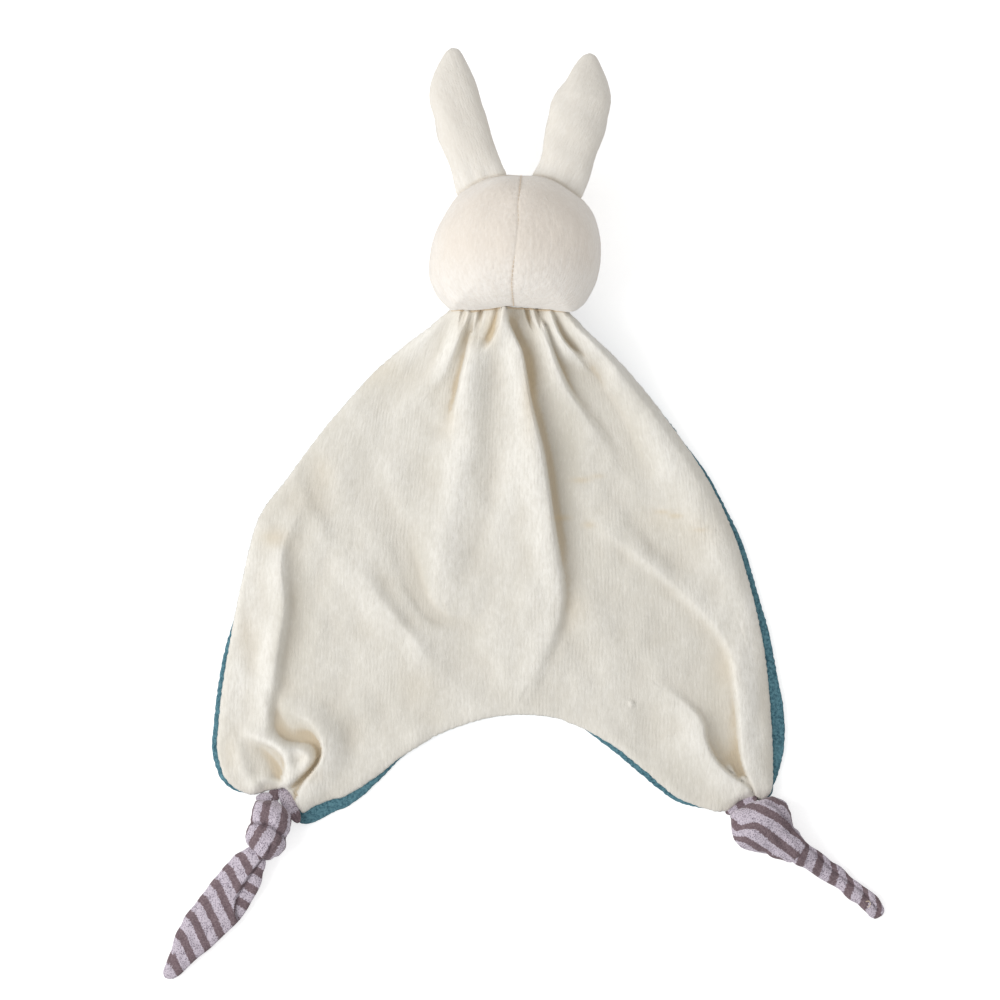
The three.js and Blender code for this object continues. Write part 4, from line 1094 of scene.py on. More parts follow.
# Head: its outline as pixels of the photograph, clockwise from the top
HEAD_PX = [
    (517, 177), (535, 177.5), (546, 179.6), (558, 185), (569.5, 192.4), (580.8, 201), (588, 209),
    (593.8, 218.5), (599, 234), (600.6, 251), (599.3, 268), (594.8, 286), (586.5, 300.5), (579, 308),
    (571, 312.4), (561, 312.2), (550, 310.8), (535, 309.6), (520, 308.4), (505, 308), (490, 309.6),
    (475, 311), (461, 311.4), (451, 311.5), (444.5, 305.5), (437, 295), (431.3, 282), (429.6, 269),
    (430.8, 256), (433.8, 241.5), (439.6, 226), (448.6, 209.5), (457.5, 197.6), (466.5, 191.2),
    (478, 185), (490.5, 180), (503, 177.4),
]
HEAD_MIDDLE_PX = (515, 246)
BACK_SEAM_PX = [
    (521, 177), (520.4, 184), (519, 197), (517.6, 211), (518, 224), (517, 241), (515, 257),
    (512.6, 272), (511.6, 288), (512.4, 299), (514, 311),
]
EAR_SEAMS_PX = [
    [(457.5, 197.6), (466.5, 191.2), (478, 185), (490.5, 180), (503, 177.4), (509, 177)],
    [(533, 177), (546, 179.6), (558, 185), (569.5, 192.4), (580.8, 201), (583, 203)],
]
head_top = max(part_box(node)[1][2] for node in ("head_face", "head_back_left", "head_back_right"))
head_half_depth = (head_top + HEAD_SUNK) / 2
head_middle = np.array([*spot(*HEAD_MIDDLE_PX), head_top - head_half_depth])


def head_reach(angle):
    """How far the head's outline is from its middle, in each direction seen from above."""
    outline = smooth_curve(spots(HEAD_PX + HEAD_PX[:1]), 24 * len(HEAD_PX))[:-1] - head_middle[:2]
    angles = np.arctan2(outline[:, 1], outline[:, 0])
    return np.interp(angle, angles, np.hypot(outline[:, 0], outline[:, 1]), period=2 * math.pi)


def head_out(angle, flat):
    """How far out the head's surface is: an oval near the top, its outline where flat is 1."""
    oval = 1 / np.hypot(np.cos(angle) / HEAD_ROUND[0], np.sin(angle) / HEAD_ROUND[1])
    return (oval + (head_reach(angle) - oval) * flat ** 4) * flat ** (2 / HEAD_POWER)


def head_surface(x, y, side):
    """Height of the head's back, side 1, or of its face, side -1, at places x, y."""
    wanted = np.hypot(x - head_middle[0], y - head_middle[1])
    angle = np.arctan2(y - head_middle[1], x - head_middle[0])
    flats = np.linspace(0, 1, 200)
    outs = head_out(np.asarray(angle)[..., None], flats)
    nearest = flats[np.argmin(np.abs(outs - np.asarray(wanted)[..., None]), axis=-1)]
    return head_middle[2] + side * head_half_depth * (1 - nearest ** 2) ** (1 / HEAD_POWER)


def cube_sphere(cells):
    """Unit directions and faces of a cube pressed out into a ball, with its seams welded."""
    line = np.tan(np.linspace(-math.pi / 4, math.pi / 4, cells + 1))
    a, b = np.meshgrid(line, line, indexing="ij")
    one = np.ones_like(a)
    sides = [(one, a, b), (-one, b, a), (b, one, a), (a, -one, b), (a, b, one), (b, a, -one)]
    points = np.concatenate([np.stack(s, axis=-1).reshape(-1, 3) for s in sides])
    points = unit(points)
    count = cells + 1
    faces = np.concatenate([np.array(grid_faces(count, count, k * count ** 2)) for k in range(6)])
    _, first, inverse = np.unique(np.round(points, 6), axis=0, return_index=True, return_inverse=True)
    return points[first], inverse.ravel()[faces]


def from_path(x, y, path_px):
    return along_path(x, y, fine_path(path_px))[0]


def head():
    direction, faces = cube_sphere(HEAD_CELLS)
    flat = np.maximum(np.hypot(direction[:, 0], direction[:, 1]), 1e-9)
    angle = np.arctan2(direction[:, 1], direction[:, 0])
    out = head_out(angle, flat)
    rise = bent(direction[:, 2], 2 / HEAD_POWER)
    x = head_middle[0] + out * np.cos(angle)
    y = head_middle[1] + out * np.sin(angle)
    z = head_middle[2] + head_half_depth * rise
    points = np.stack([x, y, z], axis=1)
    outward = unit(points - head_middle)
    level = z - head_middle[2]
    back = smoothstep(0, BACK_FADE, level)
    stitch = np.sin(y * 2 * math.pi / STITCH_PITCH)
    from_seam = from_path(x, y, BACK_SEAM_PX)
    sink = (pressed(from_seam, BACK_SEAM) + pressed(from_seam, SEAM_VALLEY)) * back
    sink += pressed(level, SIDE_SEAM) - pressed(from_seam - PUCKERS_ASIDE, PUCKERS) * stitch * back
    lumps = uneven(x + z, y - z, *HEAD_LUMPS) + uneven(x - z, y + z, *HEAD_DIMPLES)
    points = points + outward * (lumps - sink + nap(points))[:, None]
    points[:, 2] = np.maximum(points[:, 2], LOWEST)
    at_ears = np.minimum(*(from_path(x, y, path) for path in EAR_SEAMS_PX))
    tint = SEAM_TINT * bell(from_seam, BACK_SEAM[0]) * back
    tint += EAR_SEAM_TINT * bell(at_ears, EAR_SEAM_WIDTH) * smoothstep(-EAR_SEAM_FADE, 0, level)
    round_head = np.arctan2(x - head_middle[0], np.abs(level) + LAY_DEPTH) * LAY_RADIUS
    lay = np.stack([round_head, y, z], axis=1)
    piece = mesh_object("head_shell", points, faces.tolist(), lay)
    add_amount(piece, "hollow", np.clip(tint, 0, 1))
    # Painted highlight near the chin and round the head's sides
    at_chin = smoothstep(CHIN_HIGHLIGHT_FROM, CHIN_HIGHLIGHT_FULL, y - spot(*CHIN_LEVEL_PX)[1])
    add_amount(piece, "crest", np.maximum(at_chin, 0.6 * smoothstep(0.75, 0.98, flat)))
    face_outward(piece)
    piece.data.materials.append(head_velour)
    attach(piece, "head")
    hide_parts("head_face", "head_back_left", "head_back_right", "head_stuffing")


# Ears: their left and right edges from the head to the tip, as pixels of the photograph
EARS_PX = {
    "left": (
        [(460, 206), (456.4, 196.5), (454.6, 187), (450.4, 171.6), (443, 152.5), (437, 137),
         (431.5, 114.2), (429.2, 97), (431.2, 81.7), (437.4, 66.5), (445, 54), (451.4, 49)],
        [(513, 186), (509, 177), (502.3, 165.9), (496.6, 150.6), (490.8, 133.3), (485, 112.3),
         (477.4, 89.3), (469, 68.3), (463.4, 56.8), (458.6, 50.6), (454, 49)],
    ),
    "right": (
        [(527, 186), (531, 177.4), (536.7, 167.8), (541.8, 152.5), (544.6, 134), (548, 113),
         (555.4, 95), (566, 79), (575.4, 65.4), (582, 57), (588, 54.2)],
        [(579, 210), (582.7, 200.3), (590.3, 177), (598, 153.5), (605.2, 133.3), (609.5, 114.2),
         (610, 97), (606.8, 81.7), (601, 67.4), (596, 57.6), (591, 54.3)],
    ),
}


def ear(side):
    joint = joints[f"ear_{side}_fold"]
    root = np.array(joint["pos_m"])
    line = np.array(joint["axis"])
    outward = np.array([-line[1], line[0]])
    left, right = (even(spots(edge), EAR_RINGS) for edge in EARS_PX[side])
    t = np.linspace(0, 1, EAR_RINGS)
    half_width = np.linalg.norm(right - left, axis=1) / 2
    swell = soften(np.interp(t, *zip(*EAR_SWELL)), 12)
    full = swell * np.clip(half_width / EAR_FULL_WIDTH, 0, 1) ** 0.9
    level = np.full(EAR_RINGS, root[2])
    points, angle = closed_form(left, right, level, EAR_THICKNESS / 2 * full, EAR_SIDES)
    x, y, z = points[..., 0], points[..., 1], points[..., 2]
    lumps = uneven(x, y + z, *EAR_LUMPS) * smoothstep(0, 0.2, t)[:, None]
    seam = EAR_SEAM_DEPTH * bell(np.sin(angle), 0.12)[None]
    gathers = EAR_GATHER_DEPTH * bell(t, 0.16)[:, None] * np.sin(np.cos(angle) * 11 + 0.7)[None]
    at_head = from_path(x, y, EAR_SEAMS_PX[0 if side == "left" else 1])
    points = press_in(points, seam - lumps - gathers + pressed(at_head, EAR_CREASE) - nap(points))
    along = (points[..., :2] - root[:2]) @ outward
    points[..., 2] -= math.tan(math.radians(EAR_DROOP)) * along
    lay = np.stack([points[..., :2] @ line[:2], points[..., 1], points[..., 2]], axis=-1)
    faces = tube_faces(EAR_RINGS, EAR_SIDES)
    piece = mesh_object(f"ear_{side}_shell", points.reshape(-1, 3), faces, lay.reshape(-1, 3))
    add_amount(piece, "hollow", 0.6 * bell(at_head, EAR_DARK_REACH))
    # Painted highlight: the ear is paler towards the head
    add_amount(piece, "crest", 0.8 * bell(at_head, EAR_HIGHLIGHT_REACH))
    face_outward(piece)
    piece.data.materials.append(ear_velour)
    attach(piece, f"ear_{side}")
    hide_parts(f"ear_{side}_back", f"ear_{side}_front", f"ear_{side}_stuffing")


# Knotted legs. A leg's own directions, seen from above: forward runs from the cloth down the leg,
# side is to the right of the photograph. Stations are millimetres: how far forward, and where the
# two edges are to the side
LEG_HEADINGS = {"left": -20, "right": 52}
KNOT_STATIONS = {
    "left": [
        (0.0, -2.2, 0.0), (0.9, -4.6, 2.2), (1.7, -6.8, 4.0), (2.6, -8.3, 5.4), (3.7, -8.8, 6.5),
        (6.0, -9.0, 7.6), (9.0, -9.1, 8.5), (12.7, -9.0, 9.1), (15.2, -8.5, 9.2), (18.0, -7.6, 8.6),
        (20.2, -6.0, 7.4), (22.0, -3.5, 5.8), (23.4, -0.8, 4.4), (24.0, 0.6, 3.4),
    ],
    "right": [
        (-5.0, -5.2, -2.8), (-3.2, -7.0, 1.2), (-1.5, -9.1, 4.4), (0.9, -10.7, 7.6),
        (2.4, -11.6, 9.8), (3.7, -12.1, 11.4), (6.5, -12.6, 12.6), (8.7, -12.2, 12.8),
        (11.3, -10.8, 12.1), (13.5, -9.5, 10.8), (15.6, -8.5, 8.8), (18.0, -7.7, 7.6),
        (21.2, -6.8, 6.8), (24.0, -5.9, 6.1), (26.2, -4.6, 4.8), (27.4, -2.6, 2.8),
    ],
}
KNOT_HALF_THICKNESS = 8.3 * MM
KNOT_FULL_WIDTH = {"left": 8.8 * MM, "right": 12.4 * MM}
# The left knot's lower wrap crosses it in a bow, and a crease splits that wrap. The right knot has
# a fold on its right and a waist before its tail. Places are millimetres forward and to the side,
# and every crease has a width and a depth in millimetres
BOW_FORWARD = 9.9
BOW_ASIDE = -1
BOW_BEND = 0.03
BOW_CREASE = (0.7, 0.9)
BOW_VALLEY = (3.0, 1.1)
SPLIT_FORWARD = 16
SPLIT_ASIDE = 3.7
SPLIT_LEAN = 0.05
SPLIT_STARTS = (15, 18)
SPLIT_CREASE = (0.8, 0.8)
FOLD_FORWARD = 7
FOLD_ASIDE = 9.6
FOLD_LEAN = 0.2
FOLD_STARTS = (1, 4)
FOLD_CREASE = (0.9, 0.7)
WAIST_FORWARD = 16.5
WAIST_CREASE = (3.2, 0.5)
WAIST_PLEATS = 1.1
# Stripes round the knots, in millimetres: the width of a pair, how far round a dark one is, and
# where they start to lean or bend
LEFT_PAIR = 8.9
LEFT_DARK = 2.7
LEFT_LEANS_FROM = 11
LEFT_LEANS = (0.19, -0.24)
RIGHT_PAIR = 7.7
RIGHT_DARK = 1.4
RIGHT_UPPER = (-3, 3)
RIGHT_LEANS_FROM = 10
RIGHT_LEAN = 0.2
RIGHT_BENDS_FROM = 7
RIGHT_BENDS_FOR = 6.5
RIGHT_BEND = 0.14
# Small creases of the knots: a stretch forward and round, and then as every unevenness, but in
# millimetres
KNOT_CREASES = [(0.5, 1.4, 3.4, 10, 21, 0.16), (1, 1, 7, 8, 22, 0.2)]
TAILS_PX = {
    "left": (
        [(252, 846), (246.8, 848.5), (242.6, 851.3), (234, 856), (228.5, 862.6), (223, 868),
         (216, 877), (210, 883.6), (204.2, 892), (198.4, 899), (193.5, 906), (187, 913.5),
         (182.6, 919.4), (179.6, 926.7), (174.8, 934.5), (172, 942.5), (170, 951), (166.6, 959.3),
         (164, 966.4), (161.4, 974), (162.4, 979.4), (165.4, 981.6)],
        [(258, 848), (262.6, 853), (265, 861), (264.6, 868), (262, 875), (260.6, 884), (256, 894),
         (250.2, 904), (245, 913), (236.6, 924), (223, 937), (209, 950.4), (195, 961.4),
         (185.6, 970.4), (178.8, 977), (171.6, 981.6)],
    ),
    "right": (
        [(800, 838), (806.2, 842.3), (811.6, 847), (819.7, 852), (827.2, 857.8), (833.6, 863.6),
         (841.3, 867.6), (847.2, 873), (852.6, 879), (859.5, 883.7), (865.7, 888.5), (872.4, 893),
         (879, 898.4), (883.4, 905), (886.4, 911.9), (884.8, 917), (880, 920.6)],
        [(792, 862), (798, 866.4), (804.9, 868.9), (811.6, 873.4), (819.7, 879.3), (828.6, 884.6),
         (836, 888.4), (842.1, 892.4), (847, 898), (852.4, 902.6), (858.5, 905.6), (863.2, 910),
         (868.4, 915), (872.4, 919.4), (877, 921.4)],
    ),
}
TAIL_HALF_THICKNESS = 3.3 * MM
TAIL_FULL_WIDTH = 5 * MM
FLAP_STEP = 1.2 * MM
FLAP_CORNER = (1.8 * MM, 1.3 * MM)
# Lines of the tails, in millimetres past the flap's edge or the crease
FLAP_EDGE = (-0.25, 0.25)
FLAP_REACH = 7
FLAP_LINE = -0.35
TAIL_LINE_WIDTH = 0.45
TAIL_CREASES = [(0.6, 0.6), (1.6, 0.5)]
TAIL_STRIPE_BEND = 0.9 * MM
FLAP_PX = [
    (272, 846), (264, 856), (259.4, 861.6), (249.6, 875.2), (240.2, 889.2), (235.2, 900.4),
    (234, 910.3), (235, 918), (240, 926), (252, 934),
]
TAIL_CREASE_PX = [
    (806, 846), (818.4, 856.5), (831.9, 870), (849.5, 883), (861.6, 891.6), (870, 900),
    (879.6, 911.5),
]
# Stripes of the tails: a pixel on a dark one, the way it runs, and how wide a pair of stripes is
FLAP_STRIPES = ((245.4, 864), (0.42, 0.91), 7.3 * MM)
BACK_STRIPES = ((258, 873), (0.82, 0.57), 7.3 * MM)
RIGHT_STRIPES = ((803.5, 856.5), (-0.33, 0.94), 7.6 * MM)
CUFF_SLOPE = 0.45
CUFF_CREASE = 0.3 * MM
CUFF_LAY_RADIUS = 3 * MM
# Cuffs: where each flap, and the short tube under the flaps, starts and ends, forward and to the
# side in millimetres, its half width, and its stripes: how far along a dark one is, and how wide
# the stripes are. The bulk of a tube or flap is its half thickness and its height over the floor
FLAPS = {
    "left": [
        ((1.9, -9.4), (-1.5, -0.6), 2.2, 9.2, 1.6),
        ((-6.5, -2.0), (5.2, 10.6), 3.0, 16.9, 2.6),
    ],
    "right": [((-6.8, -5.6), (-1.0, 7.4), 2.7, 6.8, 1.0)],
}
TUBES = {
    "left": ((-6.0, -3.2), (3.5, -2.4), 2.4, 3.0, 1.8),
    "right": ((-6.0, -0.5), (3.5, -0.5), 3.6, 3.0, 1.8),
}
TUBE_BULK = (0.9 * MM, 3.6 * MM)
FLAP_BULK = (1.0 * MM, 4.3 * MM)


def leg_frame(side_name):
    """Where a leg starts, and its forward and side directions."""
    root = np.array(joints[f"leg_{side_name}_fold"]["pos_m"])
    angle = math.radians(LEG_HEADINGS[side_name])
    forward = np.array([math.sin(angle), -math.cos(angle)])
    return root, forward, np.array([-forward[1], forward[0]])


def around(points):
    """How far round its ring each point is from the ring's upper line, to the side."""
    sides = points.shape[1]
    top = sides // 4
    steps = np.linalg.norm(points - np.roll(points, 1, axis=1), axis=-1)
    run = np.cumsum(steps, axis=1)
    length = run[:, -1:]
    turn = (run[:, top:top + 1] - run) % length
    return np.where(turn > length / 2, turn - length, turn)


def striped_piece(name, points, lay, hollow, body, node):
    rings, sides = points.shape[:2]
    points[..., 2] = np.maximum(points[..., 2], STRIPED_LOWEST)
    faces = tube_faces(rings, sides)
    piece = mesh_object(name, points.reshape(-1, 3), faces, lay.reshape(-1, 3))
    add_amount(piece, "hollow", hollow)
    dress_striped(piece, body, node)


def dress_striped(piece, body, node):
    face_outward(piece)
    piece.data.materials.append(stripes)
    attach(piece, body)
    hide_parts(node)


def left_wraps(f, s, arc, over):
    turn = f - BOW_FORWARD - BOW_BEND * (s - BOW_ASIDE) ** 2
    split = s - SPLIT_ASIDE + SPLIT_LEAN * (f - SPLIT_FORWARD)
    shown = smoothstep(*SPLIT_STARTS, f) * over
    depth = pressed(turn, BOW_CREASE) * over + pressed(turn, BOW_VALLEY)
    depth = depth + pressed(split, SPLIT_CREASE) * shown
    past = f - LEFT_LEANS_FROM
    stripe = (arc + LEFT_DARK - np.where(past < 0, *LEFT_LEANS) * past) / LEFT_PAIR
    # Painted shade in the bow's crease and in the split
    hollow = 0.8 * bell(turn, BOW_CREASE[0]) * over + 0.7 * bell(split, SPLIT_CREASE[0]) * shown
    return depth, stripe, np.clip(hollow, 0, 1)


def right_wraps(f, s, arc, over):
    fold = s - FOLD_ASIDE + FOLD_LEAN * np.abs(f - FOLD_FORWARD)
    shown = smoothstep(*FOLD_STARTS, f) * over
    waist = pressed(f - WAIST_FORWARD, WAIST_CREASE) * np.cos(arc * WAIST_PLEATS)
    upper = smoothstep(*RIGHT_UPPER, s)
    lean = RIGHT_LEAN * np.maximum(RIGHT_LEANS_FROM - f, 0)
    bend = RIGHT_BEND * np.clip(RIGHT_BENDS_FROM - f, 0, RIGHT_BENDS_FOR) ** 2
    stripe = (arc + RIGHT_DARK + upper * lean + (1 - upper) * bend) / RIGHT_PAIR
    depth = pressed(fold, FOLD_CREASE) * shown + waist
    # Painted shade in the fold's crease
    return depth, stripe, 0.6 * bell(fold, FOLD_CREASE[0]) * shown


# Each knot's wraps, from millimetres forward, to the side and round it: how deep they are pressed
# in, in millimetres, how many stripes round they are and how much painted shade darkens their creases
WRAPS = {"left": left_wraps, "right": right_wraps}


def knot(side_name):
    root, forward, side = leg_frame(side_name)
    stations = smooth_curve(KNOT_STATIONS[side_name], LEG_RINGS) * MM
    along = root[:2] + stations[:, :1] * forward
    left, right = along + stations[:, 1:2] * side, along + stations[:, 2:3] * side
    half_width = (stations[:, 2] - stations[:, 1]) / 2
    full = np.clip(half_width / KNOT_FULL_WIDTH[side_name], 0, 1) ** 0.85
    level = np.full(LEG_RINGS, root[2])
    points, angle = closed_form(left, right, level, KNOT_HALF_THICKNESS * full, KNOT_SIDES, 0.8)
    f = stations[:, :1] / MM + np.zeros(KNOT_SIDES)
    s = (points[..., :2] - root[:2]) @ side / MM
    arc = around(points) / MM + (stations[:, 1:2] + stations[:, 2:3]) / 2 / MM
    over = smoothstep(*UPPER_SIDE, np.sin(angle))[None]
    depth, stripe, hollow = WRAPS[side_name](f, s, arc, over)
    creases = sum(uneven(f * a, arc * b, *waves) for a, b, *waves in KNOT_CREASES)
    points = press_in(points, (depth - creases) * MM)
    lay = np.stack([(stripe + 0.5) * STRIPE, f * MM, arc * MM], axis=-1)
    name = f"knot_{side_name}"
    striped_piece(name, points, lay, hollow, f"leg_{side_name}", f"leg_{side_name}_knot")


def stripe_places(x, y, through_px, line_px, period):
    """Places across stripes that run along a line of pixels, with a dark one through a pixel."""
    start = spot(*through_px)
    size = math.hypot(*line_px)
    run = (line_px[0] / size, -line_px[1] / size)
    across = (x - start[0]) * -run[1] + (y - start[1]) * run[0]
    return across * STRIPE / period + STRIPE / 2


def tail(side_name):
    start = np.array(joints[f"tail_{side_name}_swing"]["pos_m"])
    left, right = (even(spots(edge), TAIL_RINGS) for edge in TAILS_PX[side_name])
    t = np.linspace(0, 1, TAIL_RINGS)
    half_width = np.linalg.norm(right - left, axis=1) / 2
    full = np.clip(half_width / TAIL_FULL_WIDTH, 0.05, 1) ** 0.6
    thickness = TAIL_HALF_THICKNESS * full * (1 - 0.25 * t)
    lie = smoothstep(0, 0.4, t)
    height = start[2] * (1 - lie) + lie * thickness
    points, angle = closed_form(left, right, height, thickness, KNOT_SIDES, 0.7)
    x, y = points[..., 0], points[..., 1]
    over = smoothstep(*UPPER_SIDE, np.sin(angle))[None] * np.ones_like(x)
    if side_name == "left":
        inside = past_path(x, y, FLAP_PX)
        flap = smoothstep(*FLAP_EDGE, inside)
        points[..., 2] += over * FLAP_STEP * (flap - 0.5) * bell(inside, FLAP_REACH)
        on_flap, on_back = (stripe_places(x, y, *way) for way in (FLAP_STRIPES, BACK_STRIPES))
        from_left = np.linalg.norm(points[..., :2] - left[:, None], axis=-1)
        across = flap * on_flap + (1 - flap) * on_back + pressed(from_left, FLAP_CORNER)
        # Painted shade along the flap's edge
        hollow = bell(inside - FLAP_LINE, TAIL_LINE_WIDTH) * over
    else:
        above = -past_path(x, y, TAIL_CREASE_PX)
        points[..., 2] -= over * sum(pressed(above, crease) for crease in TAIL_CREASES) * MM
        across = stripe_places(x, y, *RIGHT_STRIPES) + TAIL_STRIPE_BEND * np.maximum(above, 0)
        # Painted shade along the tail's crease
        hollow = 0.6 * bell(above, TAIL_LINE_WIDTH) * over
    points[..., 2] += uneven(x, y, *TAIL_LUMPS) * over
    lay = np.stack([across, y, x], axis=-1)
    name = f"tail_{side_name}"
    striped_piece(name, points, lay, np.clip(hollow, 0, 1), name, f"leg_{side_name}_tail")


def cuff(side_name):
    """The striped tube where it is sewn to the corner of the cloth, with its folded flaps."""
    root, forward, side = leg_frame(side_name)
    forms = []
    runs = [(*TUBES[side_name], *TUBE_BULK)] + [(*flap, *FLAP_BULK) for flap in FLAPS[side_name]]
    for start, end, half_width, dark_at, stretch, half_thickness, middle in runs:
        a, b = (root[:2] + (f * forward + s * side) * MM for f, s in (start, end))
        length = np.linalg.norm(b - a)
        run = (b - a) / length
        beside = np.array([-run[1], run[0]])
        t = np.linspace(0, 1, CUFF_RINGS)
        blunt = np.clip(np.sin(t * math.pi), 0.02, 1) ** 0.45
        centre = a + (b - a) * t[:, None]
        reach = beside * (half_width * MM * blunt * (1 + 0.06 * np.sin(t * 7)))[:, None]
        level = middle + t * 0
        points, angle = closed_form(
            centre + reach, centre - reach, level, half_thickness * blunt, CUFF_SIDES, 0.8
        )
        crease = bell(np.cos(angle) - 0.15, 0.18) * (np.sin(angle) > 0)
        points = press_in(points, CUFF_CREASE * crease[None] * np.ones((len(t), 1)))
        points[..., 2] += CUFF_SLOPE * ((points[..., :2] - (a + b) / 2) @ forward)
        points[..., 2] = np.maximum(points[..., 2], STRIPED_LOWEST)
        across = (t * length - dark_at * MM) / stretch + STRIPE / 2
        nothing = np.zeros((len(t), len(angle)))
        along = angle * CUFF_LAY_RADIUS
        lay = np.stack([across[:, None] + nothing, along + nothing, nothing], axis=-1)
        forms.append((points.reshape(-1, 3), tube_faces(*nothing.shape), lay.reshape(-1, 3)))
    dress_striped(join_forms(f"cuff_{side_name}", forms), "blanket", f"leg_{side_name}_cuff")


# Stitches

def thread_piece(name, paths, radius, material, body):
    """Short lengths of thread, each a smooth tube along a path of places."""
    curve = bpy.data.curves.new(name, "CURVE")
    curve.dimensions = "3D"
    curve.bevel_depth = radius
    curve.bevel_resolution = 2
    curve.use_fill_caps = True
    for path in paths:
        spline = curve.splines.new("POLY")
        spline.points.add(len(path) - 1)
        places = np.concatenate([np.asarray(path), np.ones((len(path), 1))], axis=1)
        spline.points.foreach_set("co", places.ravel())
    made = linked(name, curve)
    graph = bpy.context.evaluated_depsgraph_get()
    mesh = bpy.data.meshes.new_from_object(made.evaluated_get(graph))
    bpy.data.objects.remove(made)
    piece = linked(name, mesh)
    piece.data.polygons.foreach_set("use_smooth", [True] * len(piece.data.polygons))
    piece.data.materials.append(material)
    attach(piece, body)
    return piece


def dashes(path, pitch, length):
    """Pieces of a path of places, each of a length, one for each pitch."""
    run = np.concatenate([[0], np.cumsum(np.linalg.norm(np.diff(path, axis=0), axis=1))])
    cut = []
    for start in np.arange(pitch / 2, run[-1] - length, pitch):
        wanted = np.linspace(start, start + length, 5)
        cut.append(np.stack([np.interp(wanted, run, path[:, k]) for k in range(3)], axis=1))
    return cut


# Threads. The gathering thread is drawn in a little where it runs under the neck
UNDER_SHARE = 0.84
THREAD_STEPS = 80
ROWS_AT_NECK = 30
NECK_THREAD_RADIUS = 0.4 * MM
NECK_THREAD_LIFT = 0.1 * MM
NECK_THREAD_SINK = 0.2 * MM
NECK_THREAD_RISE = 2 * MM
SEAM_THREAD_RADIUS = 0.16 * MM
SEAM_SINK = 0.3 * MM
SEAM_SHOWN_ABOVE = 2 * MM
STITCH_SPACING = 1.9 * MM
STITCH_LENGTH = 1.3 * MM
TIP_THREAD_PX = [(867, 903), (870, 902.5), (871.5, 905.5), (869, 909)]
TIP_THREAD_RADIUS = 0.16 * MM
TIP_THREAD_LEVEL = 6.6 * MM
TIP_THREAD_ARCH = 0.5 * MM
FACE_THREAD_RADIUS = 0.3 * MM
FACE_THREAD_PROUD = 0.1 * MM
FACE_THREAD_LOWEST = 0.35 * MM
EYE_ASIDE = 12.5 * MM
EYE_HALF_WIDTH = 3.6 * MM
EYE_LEVEL = 28 * MM
EYE_CURVE = 1.7 * MM
NOSE_LEVEL = 20.5 * MM
NOSE_HEIGHT = 3.6 * MM
NOSE_HALF_WIDTH = 3.0 * MM
NOSE_LEAST = 0.3 * MM
NOSE_ROWS = 9
NECK_SEAM_PX = [
    (452, 311.8), (459, 310.9), (470.2, 312.4), (482.8, 311.2), (499, 309.4), (505.8, 308.4),
    (515, 309.2), (527.6, 309.6), (536.8, 310.9), (548.3, 311.2), (556.3, 311.8), (564.5, 312.8),
]


def neck_stitches(place, height):
    """The thread that gathers the cloth, wound along the neck just under the chin."""
    over = even(spots(NECK_SEAM_PX), 2 * THREAD_STEPS)
    middle_column = place[:ROWS_AT_NECK, place.shape[1] // 2, 1]
    row = np.argmin(np.abs(middle_column - over[THREAD_STEPS, 1]))
    level = np.interp(over[:, 0], place[row, :, 0], height[row]) + NECK_THREAD_LIFT
    level = soften(np.minimum(level, neck[2] + NECK_HALF_THICKNESS + NECK_THREAD_RISE), 2)
    middle = (over[0] + over[-1]) / 2
    under = middle + (np.linspace(over[-1], over[0], THREAD_STEPS)[1:-1] - middle) * UNDER_SHARE
    depth = np.full(len(under), neck[2] - NECK_HALF_THICKNESS + NECK_THREAD_SINK)
    path = np.concatenate([
        np.column_stack([over, level]), np.column_stack([under, depth]), [[*over[0], level[0]]],
    ])
    piece = thread_piece("neck_thread_loop", [path], NECK_THREAD_RADIUS, thread, "neck")
    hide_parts("neck_thread")


def seam_stitches():
    """The fine stitches of the back seam."""
    path = smooth_curve(spots(BACK_SEAM_PX), 400)
    z = head_surface(path[:, 0], path[:, 1], 1) - SEAM_SINK
    seen = z > head_middle[2] + SEAM_SHOWN_ABOVE
    cut = dashes(np.column_stack([path, z])[seen], STITCH_SPACING, STITCH_LENGTH)
    thread_piece("back_seam_stitches", cut, SEAM_THREAD_RADIUS, seam_thread, "head")


def tip_thread():
    """A loose end of thread at the tip of the right tail."""
    path = smooth_curve(spots(TIP_THREAD_PX), 30)
    z = TIP_THREAD_LEVEL + TIP_THREAD_ARCH * np.sin(np.linspace(0, math.pi, 30))
    path = np.column_stack([path, z])
    thread_piece("tail_thread", [path], TIP_THREAD_RADIUS, thread, "tail_right")


def on_face(x, y):
    """The place on the front of the head at x to its right and y above its chin."""
    place = (head_middle[0] + x, spot(*CHIN_LEVEL_PX)[1] + y)
    z = float(head_surface(*place, -1)) - FACE_THREAD_PROUD
    return (*place, max(z, FACE_THREAD_LOWEST))


def face():
    """A plain sleeping face in thread: two closed eyes and a small nose."""
    paths = []
    for eye in (-1, 1):
        paths.append([
            on_face(eye * EYE_ASIDE + a * EYE_HALF_WIDTH, EYE_LEVEL - EYE_CURVE * (1 - a * a))
            for a in np.linspace(-1, 1, 17)
        ])
    for row in np.linspace(0, 1, NOSE_ROWS):
        half = NOSE_HALF_WIDTH * (1 - row) + NOSE_LEAST
        level = NOSE_LEVEL - row * NOSE_HEIGHT
        paths.append([on_face(a * half, level) for a in np.linspace(-1, 1, 7)])
    thread_piece("face_stitches", paths, FACE_THREAD_RADIUS, face_thread, "head")


# Stage

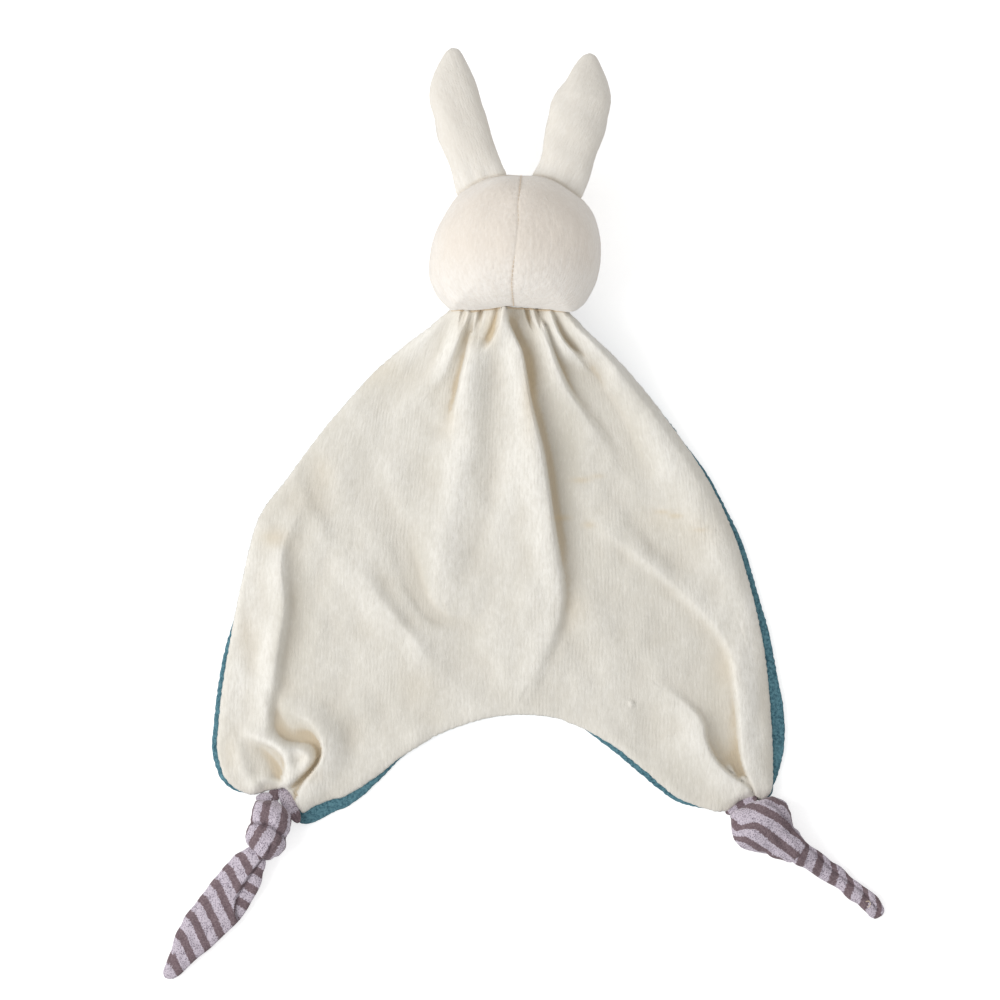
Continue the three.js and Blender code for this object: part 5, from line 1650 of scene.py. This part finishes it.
def floor():
    """A plain pale floor. It looks white to the camera and keeps the object's soft shadow."""
    corners = [(-1, -1), (1, -1), (1, 1), (-1, 1)]
    points = [(x * FLOOR_HALF_WIDTH, y * FLOOR_HALF_WIDTH, 0) for x, y in corners]
    made = mesh_object("floor", points, [[0, 1, 2, 3]])
    made.location.z = -FLOOR_DROP
    s = Shader("floor_white")
    tree = s.tree
    s.surface.inputs["Base Color"].default_value = (0.8, 0.8, 0.8, 1)
    s.surface.inputs["Roughness"].default_value = 1.0
    s.surface.inputs["Specular IOR Level"].default_value = 0.0
    glow = s.node("ShaderNodeEmission", Color=(1, 1, 1, 1))
    path = tree.nodes.new("ShaderNodeLightPath")
    seen = s.math("MAXIMUM", path.outputs["Is Camera Ray"], path.outputs["Is Glossy Ray"])
    seen = s.math("MAXIMUM", seen, path.outputs["Is Transmission Ray"])
    s.feed(glow.inputs["Strength"], s.times(seen, FLOOR_GLOW))
    both = tree.nodes.new("ShaderNodeAddShader")
    tree.links.new(s.surface.outputs[0], both.inputs[0])
    tree.links.new(glow.outputs[0], both.inputs[1])
    tree.links.new(both.outputs[0], tree.nodes["Material Output"].inputs["Surface"])
    made.data.materials.append(s.material)


def light():
    """A wide soft light from the left, with an even glow all round."""
    direction = Vector(LIGHT_DIRECTION).normalized()
    lamp = bpy.data.lights.new("window", "AREA")
    lamp.shape = "DISK"
    lamp.size = LIGHT_SIZE
    lamp.energy = LIGHT_STRENGTH * math.pi * LIGHT_DISTANCE ** 2
    made = linked("window", lamp)
    made.location = Vector(neck) - LIGHT_DISTANCE * direction
    made.rotation_euler = direction.to_track_quat("-Z", "Y").to_euler()
    world = bpy.data.worlds.new("studio")
    bpy.context.scene.world = world
    world.use_nodes = True
    background = world.node_tree.nodes["Background"]
    background.inputs["Color"].default_value = (1, 1, 1, 1)
    background.inputs["Strength"].default_value = ROOM_GLOW


def camera():
    """Straight above, far off, with the photograph's frame."""
    lens = bpy.data.cameras.new("camera")
    lens.sensor_width = SENSOR_WIDTH
    lens.lens = SENSOR_WIDTH * (CAMERA_DISTANCE - PHOTO_LEVEL) / (PHOTO_PX * METRES_PER_PX)
    lens.clip_end = VIEW_DEPTH
    made = linked("camera", lens)
    x, y = spot(PHOTO_PX / 2, PHOTO_PX / 2)
    made.location = (x, y, CAMERA_DISTANCE)
    bpy.context.scene.camera = made


bpy.context.scene.view_settings.view_transform = "Standard"
camera()
light()
floor()
place, u = cloth_grid()
height, edge, inward, hollow, crest = cloth_height(place)
teal_cloth = teal_side(place, height, edge, inward)
cream_cloth = cream_side(place, height, hollow, crest, u)
head()
for name in ("left", "right"):
    ear(name)
    cuff(name)
    knot(name)
    tail(name)
neck_stitches(place, height)
seam_stitches()
tip_thread()
face()
